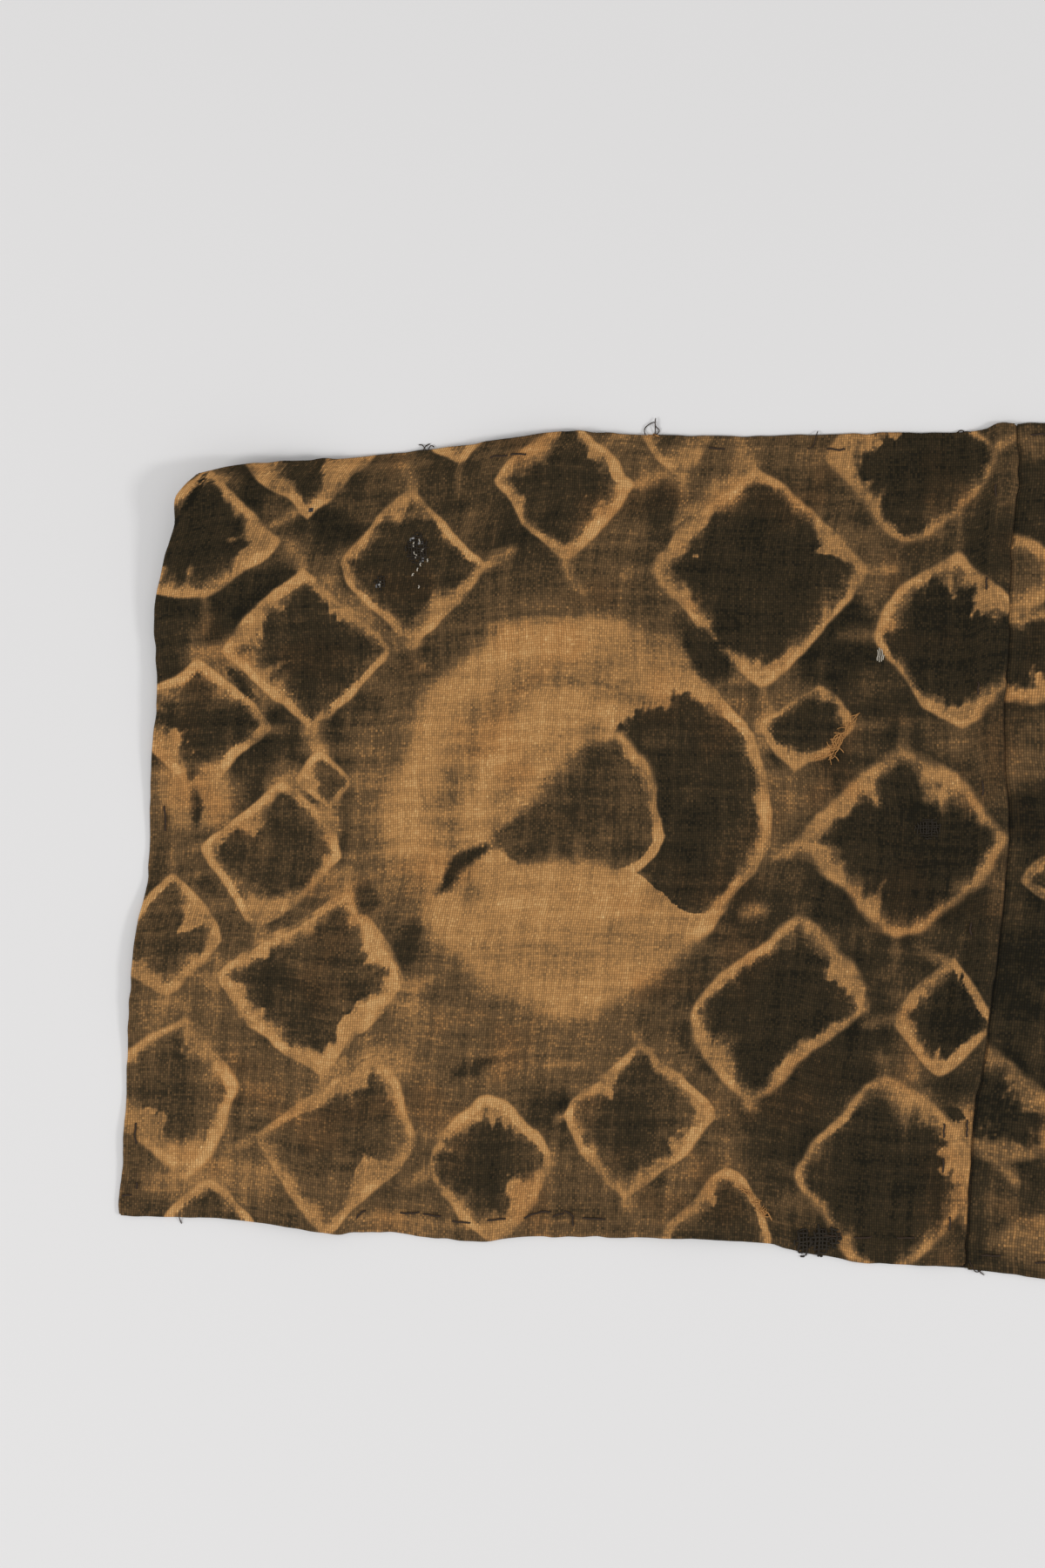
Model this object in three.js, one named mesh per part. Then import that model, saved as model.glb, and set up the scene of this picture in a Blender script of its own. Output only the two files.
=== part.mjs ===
// A tie-dyed raffia cloth of two hand-woven panels, lapped and sewn at one seam, lying flat on a surface with its
// hems folded under and one corner curled up. Millimetres, +Z up, with +X along the cloth. The origin is on the
// surface, under the middle of the cloth, where the seam crosses it.

import * as THREE from "three";

// The woven cloth
const LAYER = 1.2; // one layer of woven raffia
const HEM_LAYERS = 2; // a hem is the cloth folded once
const HEM_SLOPE = 3; // width of the step from a hem down to the single cloth
const GRID_STEP = 16; // spacing of the section lines across a panel, between its hems

// The seam: the left panel's folded edge lies on the right panel's single edge.
const LAP = 14; // how far the right panel reaches under the left one
const LAP_GAP = 0.3; // air between the lapped panels
const LAP_SLOPE = 16; // width over which the left panel comes down from the lap to the surface

// Corners of the panels, by compass on the cloth: north is +Y, east is +X.
const LEFT_CORNERS = {
  northWest: { x: -406.4, y: 192.6 },
  northEast: { x: 13.5, y: 220 },
  southEast: { x: -13, y: -213.5 },
  southWest: { x: -448.9, y: -187.7 },
};
const RIGHT_CORNERS = {
  northWest: { x: 13.5 - LAP, y: 217.2 },
  northEast: { x: 445, y: 213 },
  southEast: { x: 446, y: -213 },
  southWest: { x: -13 - LAP, y: -214.6 },
};

// How each edge strays outwards from the straight line between its corners. "at" is the share of the way along
// the edge, from its west or south end, and "out" is the distance.
const LEFT_EDGES = {
  north: [
    { at: 0.06, out: 3.6 },
    { at: 0.18, out: 5.0 },
    { at: 0.35, out: 8.0 },
    { at: 0.44, out: 11.4 },
    { at: 0.5, out: 8.8 },
    { at: 0.66, out: 3.1 },
    { at: 0.88, out: -1.0 },
    { at: 0.95, out: -2.6 },
    { at: 0.98, out: 1.1 },
  ],
  south: [
    { at: 0.15, out: -1.4 },
    { at: 0.25, out: 2.7 },
    { at: 0.31, out: 0.1 },
    { at: 0.42, out: 2.6 },
    { at: 0.5, out: -2.0 },
    { at: 0.73, out: -6.2 },
    { at: 0.82, out: -1.3 },
    { at: 0.9, out: 1.7 },
  ],
  west: [
    { at: 0.11, out: 1.8 },
    { at: 0.36, out: 7.4 },
    { at: 0.46, out: 4.5 },
    { at: 0.62, out: 9.1 },
    { at: 0.71, out: 9.4 },
    { at: 0.81, out: 15.3 },
    { at: 0.88, out: 13.4 },
    { at: 0.93, out: 9.2 },
    { at: 0.97, out: 9.4 },
  ],
  east: [
    { at: 0.06, out: -0.6 },
    { at: 0.18, out: 0.0 },
    { at: 0.26, out: 3.8 },
    { at: 0.38, out: 6.8 },
    { at: 0.52, out: 8.8 },
    { at: 0.63, out: 3.2 },
    { at: 0.75, out: 2.8 },
    { at: 0.85, out: 1.1 },
    { at: 0.94, out: 2.8 },
  ],
};
const RIGHT_EDGES = {
  north: [
    { at: 0.035, out: 2.8 },
    { at: 0.08, out: 3.7 },
    { at: 0.24, out: 3.0 },
    { at: 0.42, out: 6.4 },
    { at: 0.68, out: 3.1 },
    { at: 0.86, out: 5.7 },
  ],
  south: [
    { at: 0.06, out: 2.2 },
    { at: 0.13, out: 6.4 },
    { at: 0.24, out: 7.5 },
    { at: 0.45, out: 4.6 },
    { at: 0.63, out: 7.2 },
    { at: 0.85, out: 2.4 },
  ],
  west: LEFT_EDGES.east.map(({ at, out }) => ({ at, out: -out })),
  east: [
    { at: 0.14, out: 2.6 },
    { at: 0.33, out: -1.4 },
    { at: 0.56, out: 3.2 },
    { at: 0.78, out: -0.6 },
    { at: 0.9, out: 1.8 },
  ],
};

// Widths of the folded hems. The right panel's west edge is left single, under the lap.
const LEFT_HEMS = { north: 7, south: 10, west: 7, east: 13 };
const RIGHT_HEMS = { north: 7, south: 10, west: 0, east: 8 };

// The north-west corner curls up off the surface.
const CURL = { rise: 13, reach: 105 };

// Low swells in which the cloth stands off the surface: middle, direction of the crest in degrees from +X, half
// length along the crest, half width across it, and height.
const SWELLS = [
  { x: -418, y: 92, crest: 78, along: 95, across: 42, rise: 5.0 },
  { x: -432, y: -66, crest: 97, along: 70, across: 34, rise: 4.0 },
  { x: -352, y: -186, crest: 8, along: 62, across: 30, rise: 3.0 },
  { x: -262, y: -70, crest: 148, along: 92, across: 36, rise: 2.6 },
  { x: -236, y: 206, crest: 174, along: 84, across: 34, rise: 4.0 },
  { x: -150, y: -188, crest: -6, along: 72, across: 32, rise: 3.4 },
  { x: -92, y: 96, crest: 62, along: 80, across: 34, rise: 2.2 },
  { x: 118, y: 190, crest: 4, along: 84, across: 34, rise: 3.6 },
  { x: 160, y: -196, crest: 176, along: 90, across: 34, rise: 3.8 },
  { x: 236, y: -20, crest: 124, along: 98, across: 38, rise: 2.6 },
  { x: 330, y: 120, crest: 44, along: 84, across: 36, rise: 3.0 },
  { x: 428, y: -60, crest: 86, along: 88, across: 36, rise: 4.6 },
];

const DYED_RAFFIA = { color: 0x5a4730, roughness: 0.92, metalness: 0 };

const { smoothstep, lerp, degToRad } = THREE.MathUtils;

// An edge of a panel from corner to corner, as a curve through its stray points.
function edgeCurve(from, to, strays, outward) {
  const points = strays.map(({ at, out }) => {
    const x = lerp(from.x, to.x, at) + out * outward.x;
    const y = lerp(from.y, to.y, at) + out * outward.y;
    return new THREE.Vector2(x, y);
  });
  const start = new THREE.Vector2(from.x, from.y);
  const end = new THREE.Vector2(to.x, to.y);
  return new THREE.SplineCurve([start, ...points, end]);
}

function outlineOf(corners, edges) {
  const { northWest, northEast, southEast, southWest } = corners;
  return {
    corners,
    north: edgeCurve(northWest, northEast, edges.north, { x: 0, y: 1 }),
    south: edgeCurve(southWest, southEast, edges.south, { x: 0, y: -1 }),
    west: edgeCurve(southWest, northWest, edges.west, { x: -1, y: 0 }),
    east: edgeCurve(southEast, northEast, edges.east, { x: 1, y: 0 }),
  };
}

// The point of a panel at shares u (west to east) and v (south to north), blended between its four edges.
function pointOf(outline, u, v) {
  const { northWest, northEast, southEast, southWest } = outline.corners;
  const north = outline.north.getPointAt(u);
  const south = outline.south.getPointAt(u);
  const west = outline.west.getPointAt(v);
  const east = outline.east.getPointAt(v);
  const blend = (axis) =>
    lerp(south[axis], north[axis], v) +
    lerp(west[axis], east[axis], u) -
    lerp(lerp(southWest[axis], southEast[axis], u), lerp(northWest[axis], northEast[axis], u), v);
  return { x: blend("x"), y: blend("y") };
}

// A soft bump that is 1 at distance 0 and exactly 0 from distance 1 outwards.
const bump = (distance) => 1 - smoothstep(distance, 0, 1);

// Height of the cloth's underside over the surface at a place on the cloth.
function standOff({ x, y }) {
  const corner = LEFT_CORNERS.northWest;
  let height = CURL.rise * bump(Math.hypot(x - corner.x, y - corner.y) / CURL.reach);
  for (const swell of SWELLS) {
    const turn = degToRad(swell.crest);
    const dx = x - swell.x;
    const dy = y - swell.y;
    const along = dx * Math.cos(turn) + dy * Math.sin(turn);
    const across = dy * Math.cos(turn) - dx * Math.sin(turn);
    height += swell.rise * bump(Math.hypot(along / swell.along, across / swell.across));
  }
  return height;
}

// The section lines across a side: its two edges, both sides of each hem's step, and even steps between the hems.
function sectionLines(length, hemStart, hemEnd) {
  const first = hemStart ? [0, hemStart, hemStart + HEM_SLOPE] : [0];
  const last = hemEnd ? [length - hemEnd - HEM_SLOPE, length - hemEnd, length] : [length];
  const from = first.at(-1);
  const to = last[0];
  const steps = Math.round((to - from) / GRID_STEP);
  const between = Array.from({ length: steps - 1 }, (_, i) => lerp(from, to, (i + 1) / steps));
  return [...first, ...between, ...last];
}

// How much of a second layer lies at a distance from a hemmed edge: 1 in the hem, 0 past its step.
function hemShare(distance, hem) {
  return hem ? 1 - THREE.MathUtils.clamp((distance - hem) / HEM_SLOPE, 0, 1) : 0;
}

// The closed sheet of a panel: a box whose top and bottom are laid out on the panel's outline and swells.
function sheetGeometry({ outline, hems, overlaps, underlaps }) {
  const width = (outline.north.getLength() + outline.south.getLength()) / 2;
  const height = (outline.west.getLength() + outline.east.getLength()) / 2;
  const columns = sectionLines(width, hems.west || (underlaps && LAP), hems.east);
  const rows = sectionLines(height, hems.south, hems.north);
  const geometry = new THREE.BoxGeometry(1, 1, 1, columns.length - 1, rows.length - 1, 1);
  const position = geometry.attributes.position;
  for (let i = 0; i < position.count; i++) {
    const fromWest = columns[Math.round((position.getX(i) + 0.5) * (columns.length - 1))];
    const fromSouth = rows[Math.round((position.getY(i) + 0.5) * (rows.length - 1))];
    const onTop = position.getZ(i) > 0;
    const fromEast = width - fromWest;
    const place = pointOf(outline, fromWest / width, fromSouth / height);

    const underLap = underlaps ? hemShare(fromWest, LAP) : 0;
    const sideHems = Math.max(hemShare(fromSouth, hems.south), hemShare(height - fromSouth, hems.north));
    const endHems = Math.max(hemShare(fromWest, hems.west), hemShare(fromEast, hems.east));
    const folded = Math.max(sideHems * (1 - underLap), endHems);
    const thickness = LAYER * (1 + (HEM_LAYERS - 1) * folded);

    const onLap = overlaps ? 1 - smoothstep(fromEast, LAP + HEM_SLOPE, LAP + HEM_SLOPE + LAP_SLOPE) : 0;
    const bottom = standOff(place) + onLap * (LAYER + LAP_GAP);
    position.setXYZ(i, place.x, place.y, onTop ? bottom + thickness : bottom);
  }
  geometry.computeVertexNormals();
  return geometry;
}

function panel(name, form) {
  const mesh = new THREE.Mesh(sheetGeometry(form), new THREE.MeshStandardMaterial(DYED_RAFFIA));
  mesh.name = name;
  return mesh;
}

const leftPanel = panel("panel_left", {
  outline: outlineOf(LEFT_CORNERS, LEFT_EDGES),
  hems: LEFT_HEMS,
  overlaps: true,
  underlaps: false,
});

const rightPanel = panel("panel_right", {
  outline: outlineOf(RIGHT_CORNERS, RIGHT_EDGES),
  hems: RIGHT_HEMS,
  overlaps: false,
  underlaps: true,
});

const cloth = new THREE.Group();
cloth.add(leftPanel, rightPanel);

export default cloth;
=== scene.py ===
"""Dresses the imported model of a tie-dyed raffia cloth.

Two woven panels with folded hems are lapped and sewn at a seam. Tables are in millimetres on the cloth,
with +X along it and +Y towards its top edge, from the middle of the seam.
"""

import logging
import math
from dataclasses import dataclass, field
from enum import Enum

import bpy
import numpy as np
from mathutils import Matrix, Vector
from mathutils.bvhtree import BVHTree


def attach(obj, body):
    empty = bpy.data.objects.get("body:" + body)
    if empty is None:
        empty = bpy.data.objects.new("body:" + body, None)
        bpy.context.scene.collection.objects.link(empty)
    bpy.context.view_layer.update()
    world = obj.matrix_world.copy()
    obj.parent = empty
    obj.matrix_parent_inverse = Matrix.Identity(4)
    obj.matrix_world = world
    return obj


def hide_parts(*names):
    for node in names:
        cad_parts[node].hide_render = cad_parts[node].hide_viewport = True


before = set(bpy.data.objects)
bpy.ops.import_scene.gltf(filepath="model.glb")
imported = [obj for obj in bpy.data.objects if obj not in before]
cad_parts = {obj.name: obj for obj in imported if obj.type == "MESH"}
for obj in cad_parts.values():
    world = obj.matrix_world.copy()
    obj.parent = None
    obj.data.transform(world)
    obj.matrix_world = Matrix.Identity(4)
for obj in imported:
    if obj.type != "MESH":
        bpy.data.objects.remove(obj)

log = logging.getLogger("raffia_cloth")

MM = 0.001
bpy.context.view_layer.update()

# Amounts too small to see, which keep a comparison or a division safe
HAIR = 1e-6
TINY = 1e-9

# The curve between colours as seen, 0 to 255, and the linear values that sockets take
FULL = 255
SRGB_KNEE = 0.04045
SRGB_SLOPE = 12.92
SRGB_OFFSET = 0.055
SRGB_POWER = 2.4


def linear(red: float, green: float, blue: float) -> tuple[float, float, float, float]:
    """Turns a colour as seen into linear light.

    Args:
        red: Red, 0 to 255.
        green: Green, 0 to 255.
        blue: Blue, 0 to 255.

    Returns:
        The colour as red, green, blue and alpha for a colour socket.
    """
    light = []
    for part in (red / FULL, green / FULL, blue / FULL):
        curved = ((part + SRGB_OFFSET) / (1 + SRGB_OFFSET)) ** SRGB_POWER
        light.append(part / SRGB_SLOPE if part <= SRGB_KNEE else curved)
    return (light[0], light[1], light[2], 1.0)


def smoothstep(value: np.ndarray, low: float, high: float) -> np.ndarray:
    """Rises smoothly from 0 at low to 1 at high.

    Args:
        value: The values to map.
        low: Where the rise starts.
        high: Where the rise ends.

    Returns:
        The mapped values, from 0 to 1.
    """
    share = np.clip((value - low) / (high - low), 0, 1)
    return share * share * (3 - 2 * share)


def curve_through(points: np.ndarray, fineness: int) -> np.ndarray:
    """Draws a smooth curve through points.

    Args:
        points: The points, one a row.
        fineness: How many steps there are from point to point.

    Returns:
        The places along the curve, one a row.
    """
    padded = np.vstack([points[:1], points, points[-1:]])
    share = np.linspace(0, 1, fineness, endpoint=False)[:, None]
    runs = []
    for before, here, there, after in zip(padded, padded[1:], padded[2:], padded[3:]):
        leave, arrive = (there - before) / 2, (after - here) / 2
        cubic = 2 * here - 2 * there + leave + arrive
        square = -3 * here + 3 * there - 2 * leave - arrive
        runs.append(cubic * share**3 + square * share**2 + leave * share + here)
    return np.vstack([*runs, points[-1:]])


def turned(x: np.ndarray, y: np.ndarray, degrees: float) -> tuple[np.ndarray, np.ndarray]:
    """Turns places about the origin.

    Args:
        x: Places along the cloth.
        y: Places across the cloth.
        degrees: How far they turn, anticlockwise.

    Returns:
        The turned places, along and across the cloth.
    """
    turn = math.radians(degrees)
    return x * math.cos(turn) - y * math.sin(turn), x * math.sin(turn) + y * math.cos(turn)


def new_piece(name: str, points: np.ndarray, faces: list[tuple[int, ...]]) -> bpy.types.Object:
    """Makes an object in the scene and selects it alone.

    Args:
        name: The object's name.
        points: Its points in millimetres, one a row.
        faces: The points of each face.

    Returns:
        The object.
    """
    mesh = bpy.data.meshes.new(name)
    mesh.from_pydata((points * MM).tolist(), [], faces)
    piece = bpy.data.objects.new(name, mesh)
    bpy.context.collection.objects.link(piece)
    bpy.ops.object.select_all(action="DESELECT")
    piece.select_set(True)
    bpy.context.view_layer.objects.active = piece
    return piece


class Side(Enum):
    """The sides of a panel, by compass on the cloth."""

    NORTH = "north"
    SOUTH = "south"
    WEST = "west"
    EAST = "east"


class Wander:
    """Smooth random wandering over the cloth, the same on every run."""

    LATTICE = 64

    def __init__(self, seed: int, cell: float) -> None:
        """Draws the lattice.

        Args:
            seed: Which wandering it is.
            cell: Distance between its turns.
        """
        self.cell = cell
        self.values = np.random.default_rng(seed).uniform(-1, 1, (self.LATTICE, self.LATTICE))

    def at(self, x: np.ndarray, y: np.ndarray) -> np.ndarray:
        """Reads the wandering.

        Args:
            x: Places along the cloth.
            y: Places across the cloth.

        Returns:
            Values from -1 to 1.
        """
        column = np.floor(x / self.cell).astype(int)
        row = np.floor(y / self.cell).astype(int)
        across = smoothstep(x / self.cell - column, 0, 1)
        up = smoothstep(y / self.cell - row, 0, 1)
        corner = [
            [self.values[(row + j) % self.LATTICE, (column + i) % self.LATTICE] for i in (0, 1)]
            for j in (0, 1)
        ]
        low = corner[0][0] * (1 - across) + corner[0][1] * across
        high = corner[1][0] * (1 - across) + corner[1][1] * across
        return low * (1 - up) + high * up


@dataclass(frozen=True)
class Cloud:
    """Wandering of one strength and size, which makes a tone, a width or a height uneven."""

    amount: float
    cell: float
    seed: int

    def at(self, x: np.ndarray, y: np.ndarray, first_seed: int = 0) -> np.ndarray:
        """Reads the cloud.

        Args:
            x: Places along the cloth.
            y: Places across the cloth.
            first_seed: What the cloud's own seed is counted from.

        Returns:
            Values from minus its amount to plus its amount.
        """
        return self.amount * Wander(first_seed + self.seed, self.cell).at(x, y)


# How the cloth lies


@dataclass(frozen=True)
class Swell:
    """A low swell in which the cloth stands off the surface.

    The crest is its direction in degrees from +X, and along and across are its half length and half width.
    """

    x: float
    y: float
    crest: float
    along: float
    across: float
    rise: float

    def reach(self, x: np.ndarray, y: np.ndarray) -> np.ndarray:
        """Measures places against the swell.

        Args:
            x: Places along the cloth.
            y: Places across the cloth.

        Returns:
            Distances from its middle, as shares of its reach that way.
        """
        along, across = turned(x - self.x, y - self.y, -self.crest)
        return np.hypot(along / self.along, across / self.across)


@dataclass(frozen=True)
class Lie:
    """How the cloth lies on the surface: its curled corner, its swells and its fine cockles."""

    corner: tuple[float, float] = (-406.4, 192.6)
    curl_rise: float = 13.0
    curl_reach: float = 105.0
    swells: tuple[Swell, ...] = (
        # x, y, direction of the crest, half length, half width, height
        Swell(-418, 92, 78, 95, 42, 5.0),
        Swell(-432, -66, 97, 70, 34, 4.0),
        Swell(-352, -186, 8, 62, 30, 3.0),
        Swell(-262, -70, 148, 92, 36, 2.6),
        Swell(-236, 206, 174, 84, 34, 4.0),
        Swell(-150, -188, -6, 72, 32, 3.4),
        Swell(-92, 96, 62, 80, 34, 2.2),
        Swell(118, 190, 4, 84, 34, 3.6),
        Swell(160, -196, 176, 90, 34, 3.8),
        Swell(236, -20, 124, 98, 38, 2.6),
        Swell(330, 120, 44, 84, 36, 3.0),
        Swell(428, -60, 86, 88, 36, 4.6),
    )
    creases: tuple[Swell, ...] = (
        Swell(-17, -80, 91, 27, 3.6, 2.2),
        Swell(-10, 60, 88, 120, 4.5, 0.8),
        Swell(-415, 178, 68, 30, 7.0, 1.6),
        Swell(-384, 181, 38, 40, 7.0, 1.0),
        Swell(-440, 20, 96, 42, 7.0, 1.2),
        Swell(-446, -150, 92, 34, 6.0, 1.0),
        Swell(-300, 196, 172, 44, 6.0, 0.9),
        Swell(-70, 205, 2, 56, 6.0, 0.9),
        Swell(-250, -196, 4, 46, 6.0, 1.0),
        Swell(-96, -200, 172, 42, 6.0, 1.1),
    )
    cockle: float = 0.42
    cockles: tuple[Cloud, ...] = (Cloud(0.9, 38.0, 11), Cloud(0.45, 15.0, 12))

    def height(self, x: np.ndarray, y: np.ndarray) -> np.ndarray:
        """Height of the cloth's underside over the surface.

        Args:
            x: Places along the cloth.
            y: Places across the cloth.

        Returns:
            The heights, nowhere below the surface.
        """
        away = np.hypot(x - self.corner[0], y - self.corner[1]) / self.curl_reach
        total = self.curl_rise * (1 - smoothstep(away, 0, 1))
        for swell in self.swells + self.creases:
            total = total + swell.rise * (1 - smoothstep(swell.reach(x, y), 0, 1))
        uneven = sum(cloud.at(x, y) for cloud in self.cockles)
        return total + self.cockle * np.clip(uneven, 0, None)


# The dye: rings of resist on a dark ground, each ring tied by hand and so uneven

ROUND = 2.0
NO_WIDTHS = (0.0,) * 8
# How many times each place, along and across, counts in the seed of a ring's own random draws
FLAME_DRAWS = (7, 13)
TAIL_DRAWS = (3, 17)


@dataclass(frozen=True)
class Ring:
    """One tied ring: a pale line, with paler cloth inside it in places, round a dark middle.

    West, east, north and south are reaches from its middle to its tips. Widths of the paler cloth are given
    at angles from the east tip, and so is the softness of its edge where that changes round the ring. Out is
    how far the line reaches outwards. A bend goes from 1 for straight sides to 2 for round ones; bends give
    it by quarter, from the north-east one. Flames are points of paler cloth that reach inwards, tails are
    pale streaks that run on from the tips, and ripples are rounds in the paler cloth: depth inside the edge,
    half width and change of tone. Tones, of the fill, the line's band, the paler cloth inside and the halo
    outside, go from 0 for the darkest dye to 1 for bare raffia.
    """

    x: float
    y: float
    west: float
    east: float
    north: float
    south: float
    widths: tuple[float, ...]
    out: float = 0.9
    bend: float = 1.3
    lean: float = 0.0
    fill: float = 0.06
    turn: float = 0.0
    soft: float = 1.0
    line: float = 2.8
    band: float = 0.68
    inside: float = 0.61
    halo: float = 0.05
    flame: float = 9.5
    flame_step: float = 5.0
    flame_shares: tuple[float, float] = (0.15, 1.2)
    tail: float = 10.0
    tail_width: float = 3.0
    tail_start: float = 0.7
    tail_swing: float = 70.0
    tail_tone: float = 0.58
    tail_soft: float = 3.0
    angles: tuple[float, ...] = (0.0, 45.0, 90.0, 135.0, 180.0, 225.0, 270.0, 315.0)
    softs: tuple[float, ...] = ()
    bends: tuple[float, ...] = ()
    ripples: tuple[tuple[float, float, float], ...] = ()

    def _random(self, by_x: int, by_y: int) -> np.random.Generator:
        """Readies random draws that are the ring's own, the same on every run.

        Args:
            by_x: How many times its place along the cloth counts.
            by_y: How many times its place across the cloth counts.

        Returns:
            The random draws.
        """
        return np.random.default_rng(round(abs(by_x * self.x + by_y * self.y)))

    def ripple(self, gap: np.ndarray) -> np.ndarray:
        """Reads the darker and paler rounds in the paler cloth.

        Args:
            gap: Distances outside the ring's edge.

        Returns:
            The change of tone there.
        """
        total = 0 * gap
        for depth, half, change in self.ripples:
            total = total + change * np.exp(-(((gap + depth) / half) ** 2))
        return total

    def flames(self, angle: np.ndarray) -> np.ndarray:
        """Reads the points of paler cloth.

        Args:
            angle: Angles round the ring from its east tip, in degrees.

        Returns:
            How far the points reach inwards there.
        """
        around = math.pi * (self.west + self.east + self.north + self.south) / 2
        count = round(around / self.flame_step)
        heights = self._random(*FLAME_DRAWS).uniform(-1, 1, count)
        points = np.interp(angle, np.linspace(0, 360, count, endpoint=False), heights, period=360)
        return self.flame * np.clip(points, 0, None) ** 2

    def tails(self) -> "tuple[Wash, ...]":
        """Draws the pale streaks that run on outwards from the ring's tips.

        Returns:
            One streak a tip, each as strong as it happens to be.
        """
        tips = (
            (self.east, 0.0),
            (self.lean * self.north, self.north),
            (-self.west, 0.0),
            (-self.lean * self.south, -self.south),
        )
        streaks = []
        for (dx, dy), strength in zip(tips, self._random(*TAIL_DRAWS).uniform(0, 1, len(tips))):
            turn = math.degrees(math.atan2(dy, dx)) + self.tail_swing * (strength - 0.5)
            x = self.x + dx + self.tail_start * self.tail * math.cos(math.radians(turn))
            y = self.y + dy + self.tail_start * self.tail * math.sin(math.radians(turn))
            look = (self.tail_tone, self.tail_soft, strength)
            streaks.append(Wash(x, y, self.tail, self.tail_width, turn, *look))
        return tuple(streaks)

    def read(self, x: np.ndarray, y: np.ndarray) -> tuple[np.ndarray, np.ndarray, np.ndarray]:
        """Measures places against the ring.

        Args:
            x: Places along the cloth.
            y: Places across the cloth.

        Returns:
            Distance outside the ring's outer edge, width of its paler cloth there, and softness of its edge.
        """
        px, py = turned(x - self.x, y - self.y, -self.turn)
        px = px - self.lean * py
        reach_x = np.where(px > 0, self.east, self.west)
        reach_y = np.where(py > 0, self.north, self.south)
        bend = self.bend
        if self.bends:
            quarter = np.where(py > 0, np.where(px > 0, 0, 1), np.where(px > 0, 3, 2))
            bend = np.array(self.bends)[quarter]
        ax, ay = np.abs(px) / reach_x + TINY, np.abs(py) / reach_y + TINY
        size = (ax**bend + ay**bend) ** (1 / bend)
        slope = size ** (1 - bend) * np.hypot(ax ** (bend - 1) / reach_x, ay ** (bend - 1) / reach_y)
        gap = (size - 1) / slope
        angle = np.degrees(np.arctan2(py / reach_y, px / reach_x)) % 360
        width = np.interp(angle, self.angles, self.widths, period=360)
        if self.softs:
            soft = np.interp(angle, self.angles, self.softs, period=360)
        else:
            soft = self.soft + 0 * gap
            width = width + self.flames(angle) * np.clip(width / self.flame, *self.flame_shares)
        return gap, width, soft


@dataclass(frozen=True)
class Wash:
    """A soft patch that takes the dye's tone towards a level."""

    x: float
    y: float
    half_x: float
    half_y: float
    turn: float
    tone: float
    soft: float
    strength: float = 1.0

    def gap(self, x: np.ndarray, y: np.ndarray, bend: float) -> np.ndarray:
        """Measures places against the patch.

        Args:
            x: Places along the cloth.
            y: Places across the cloth.
            bend: How round the patch is, as for a ring.

        Returns:
            Distances outside its edge.
        """
        reaches = (self.half_x, self.half_x, self.half_y, self.half_y)
        return Ring(self.x, self.y, *reaches, NO_WIDTHS, bend=bend, turn=self.turn).read(x, y)[0]

    def mask(self, x: np.ndarray, y: np.ndarray) -> np.ndarray:
        """How strongly the patch shows.

        Args:
            x: Places along the cloth.
            y: Places across the cloth.

        Returns:
            Values from 0 to the patch's strength.
        """
        return self.strength * (1 - smoothstep(self.gap(x, y, ROUND), -self.soft, self.soft))

    def over(self, tone: np.ndarray, x: np.ndarray, y: np.ndarray) -> np.ndarray:
        """Lays the patch over tones.

        Args:
            tone: The tones.
            x: Places along the cloth.
            y: Places across the cloth.

        Returns:
            The tones with the patch on them.
        """
        mask = self.mask(x, y)
        return tone * (1 - mask) + self.tone * mask


@dataclass(frozen=True)
class Rings:
    """Fields of the nearest ring, in three columns each.

    The shape is gap, width of the paler cloth and reach of the line outwards. The tones are softness, the
    dark middle and the line. The lines are width of the line, tone of the paler cloth and tone of the
    ground. The halo is the pale spread just outside the rings, the moat is the dark that lies round each,
    and the bridge is how close two rings lie there.
    """

    shape: np.ndarray
    tones: np.ndarray
    lines: np.ndarray
    halo: np.ndarray
    moat: np.ndarray
    bridge: np.ndarray


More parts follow.
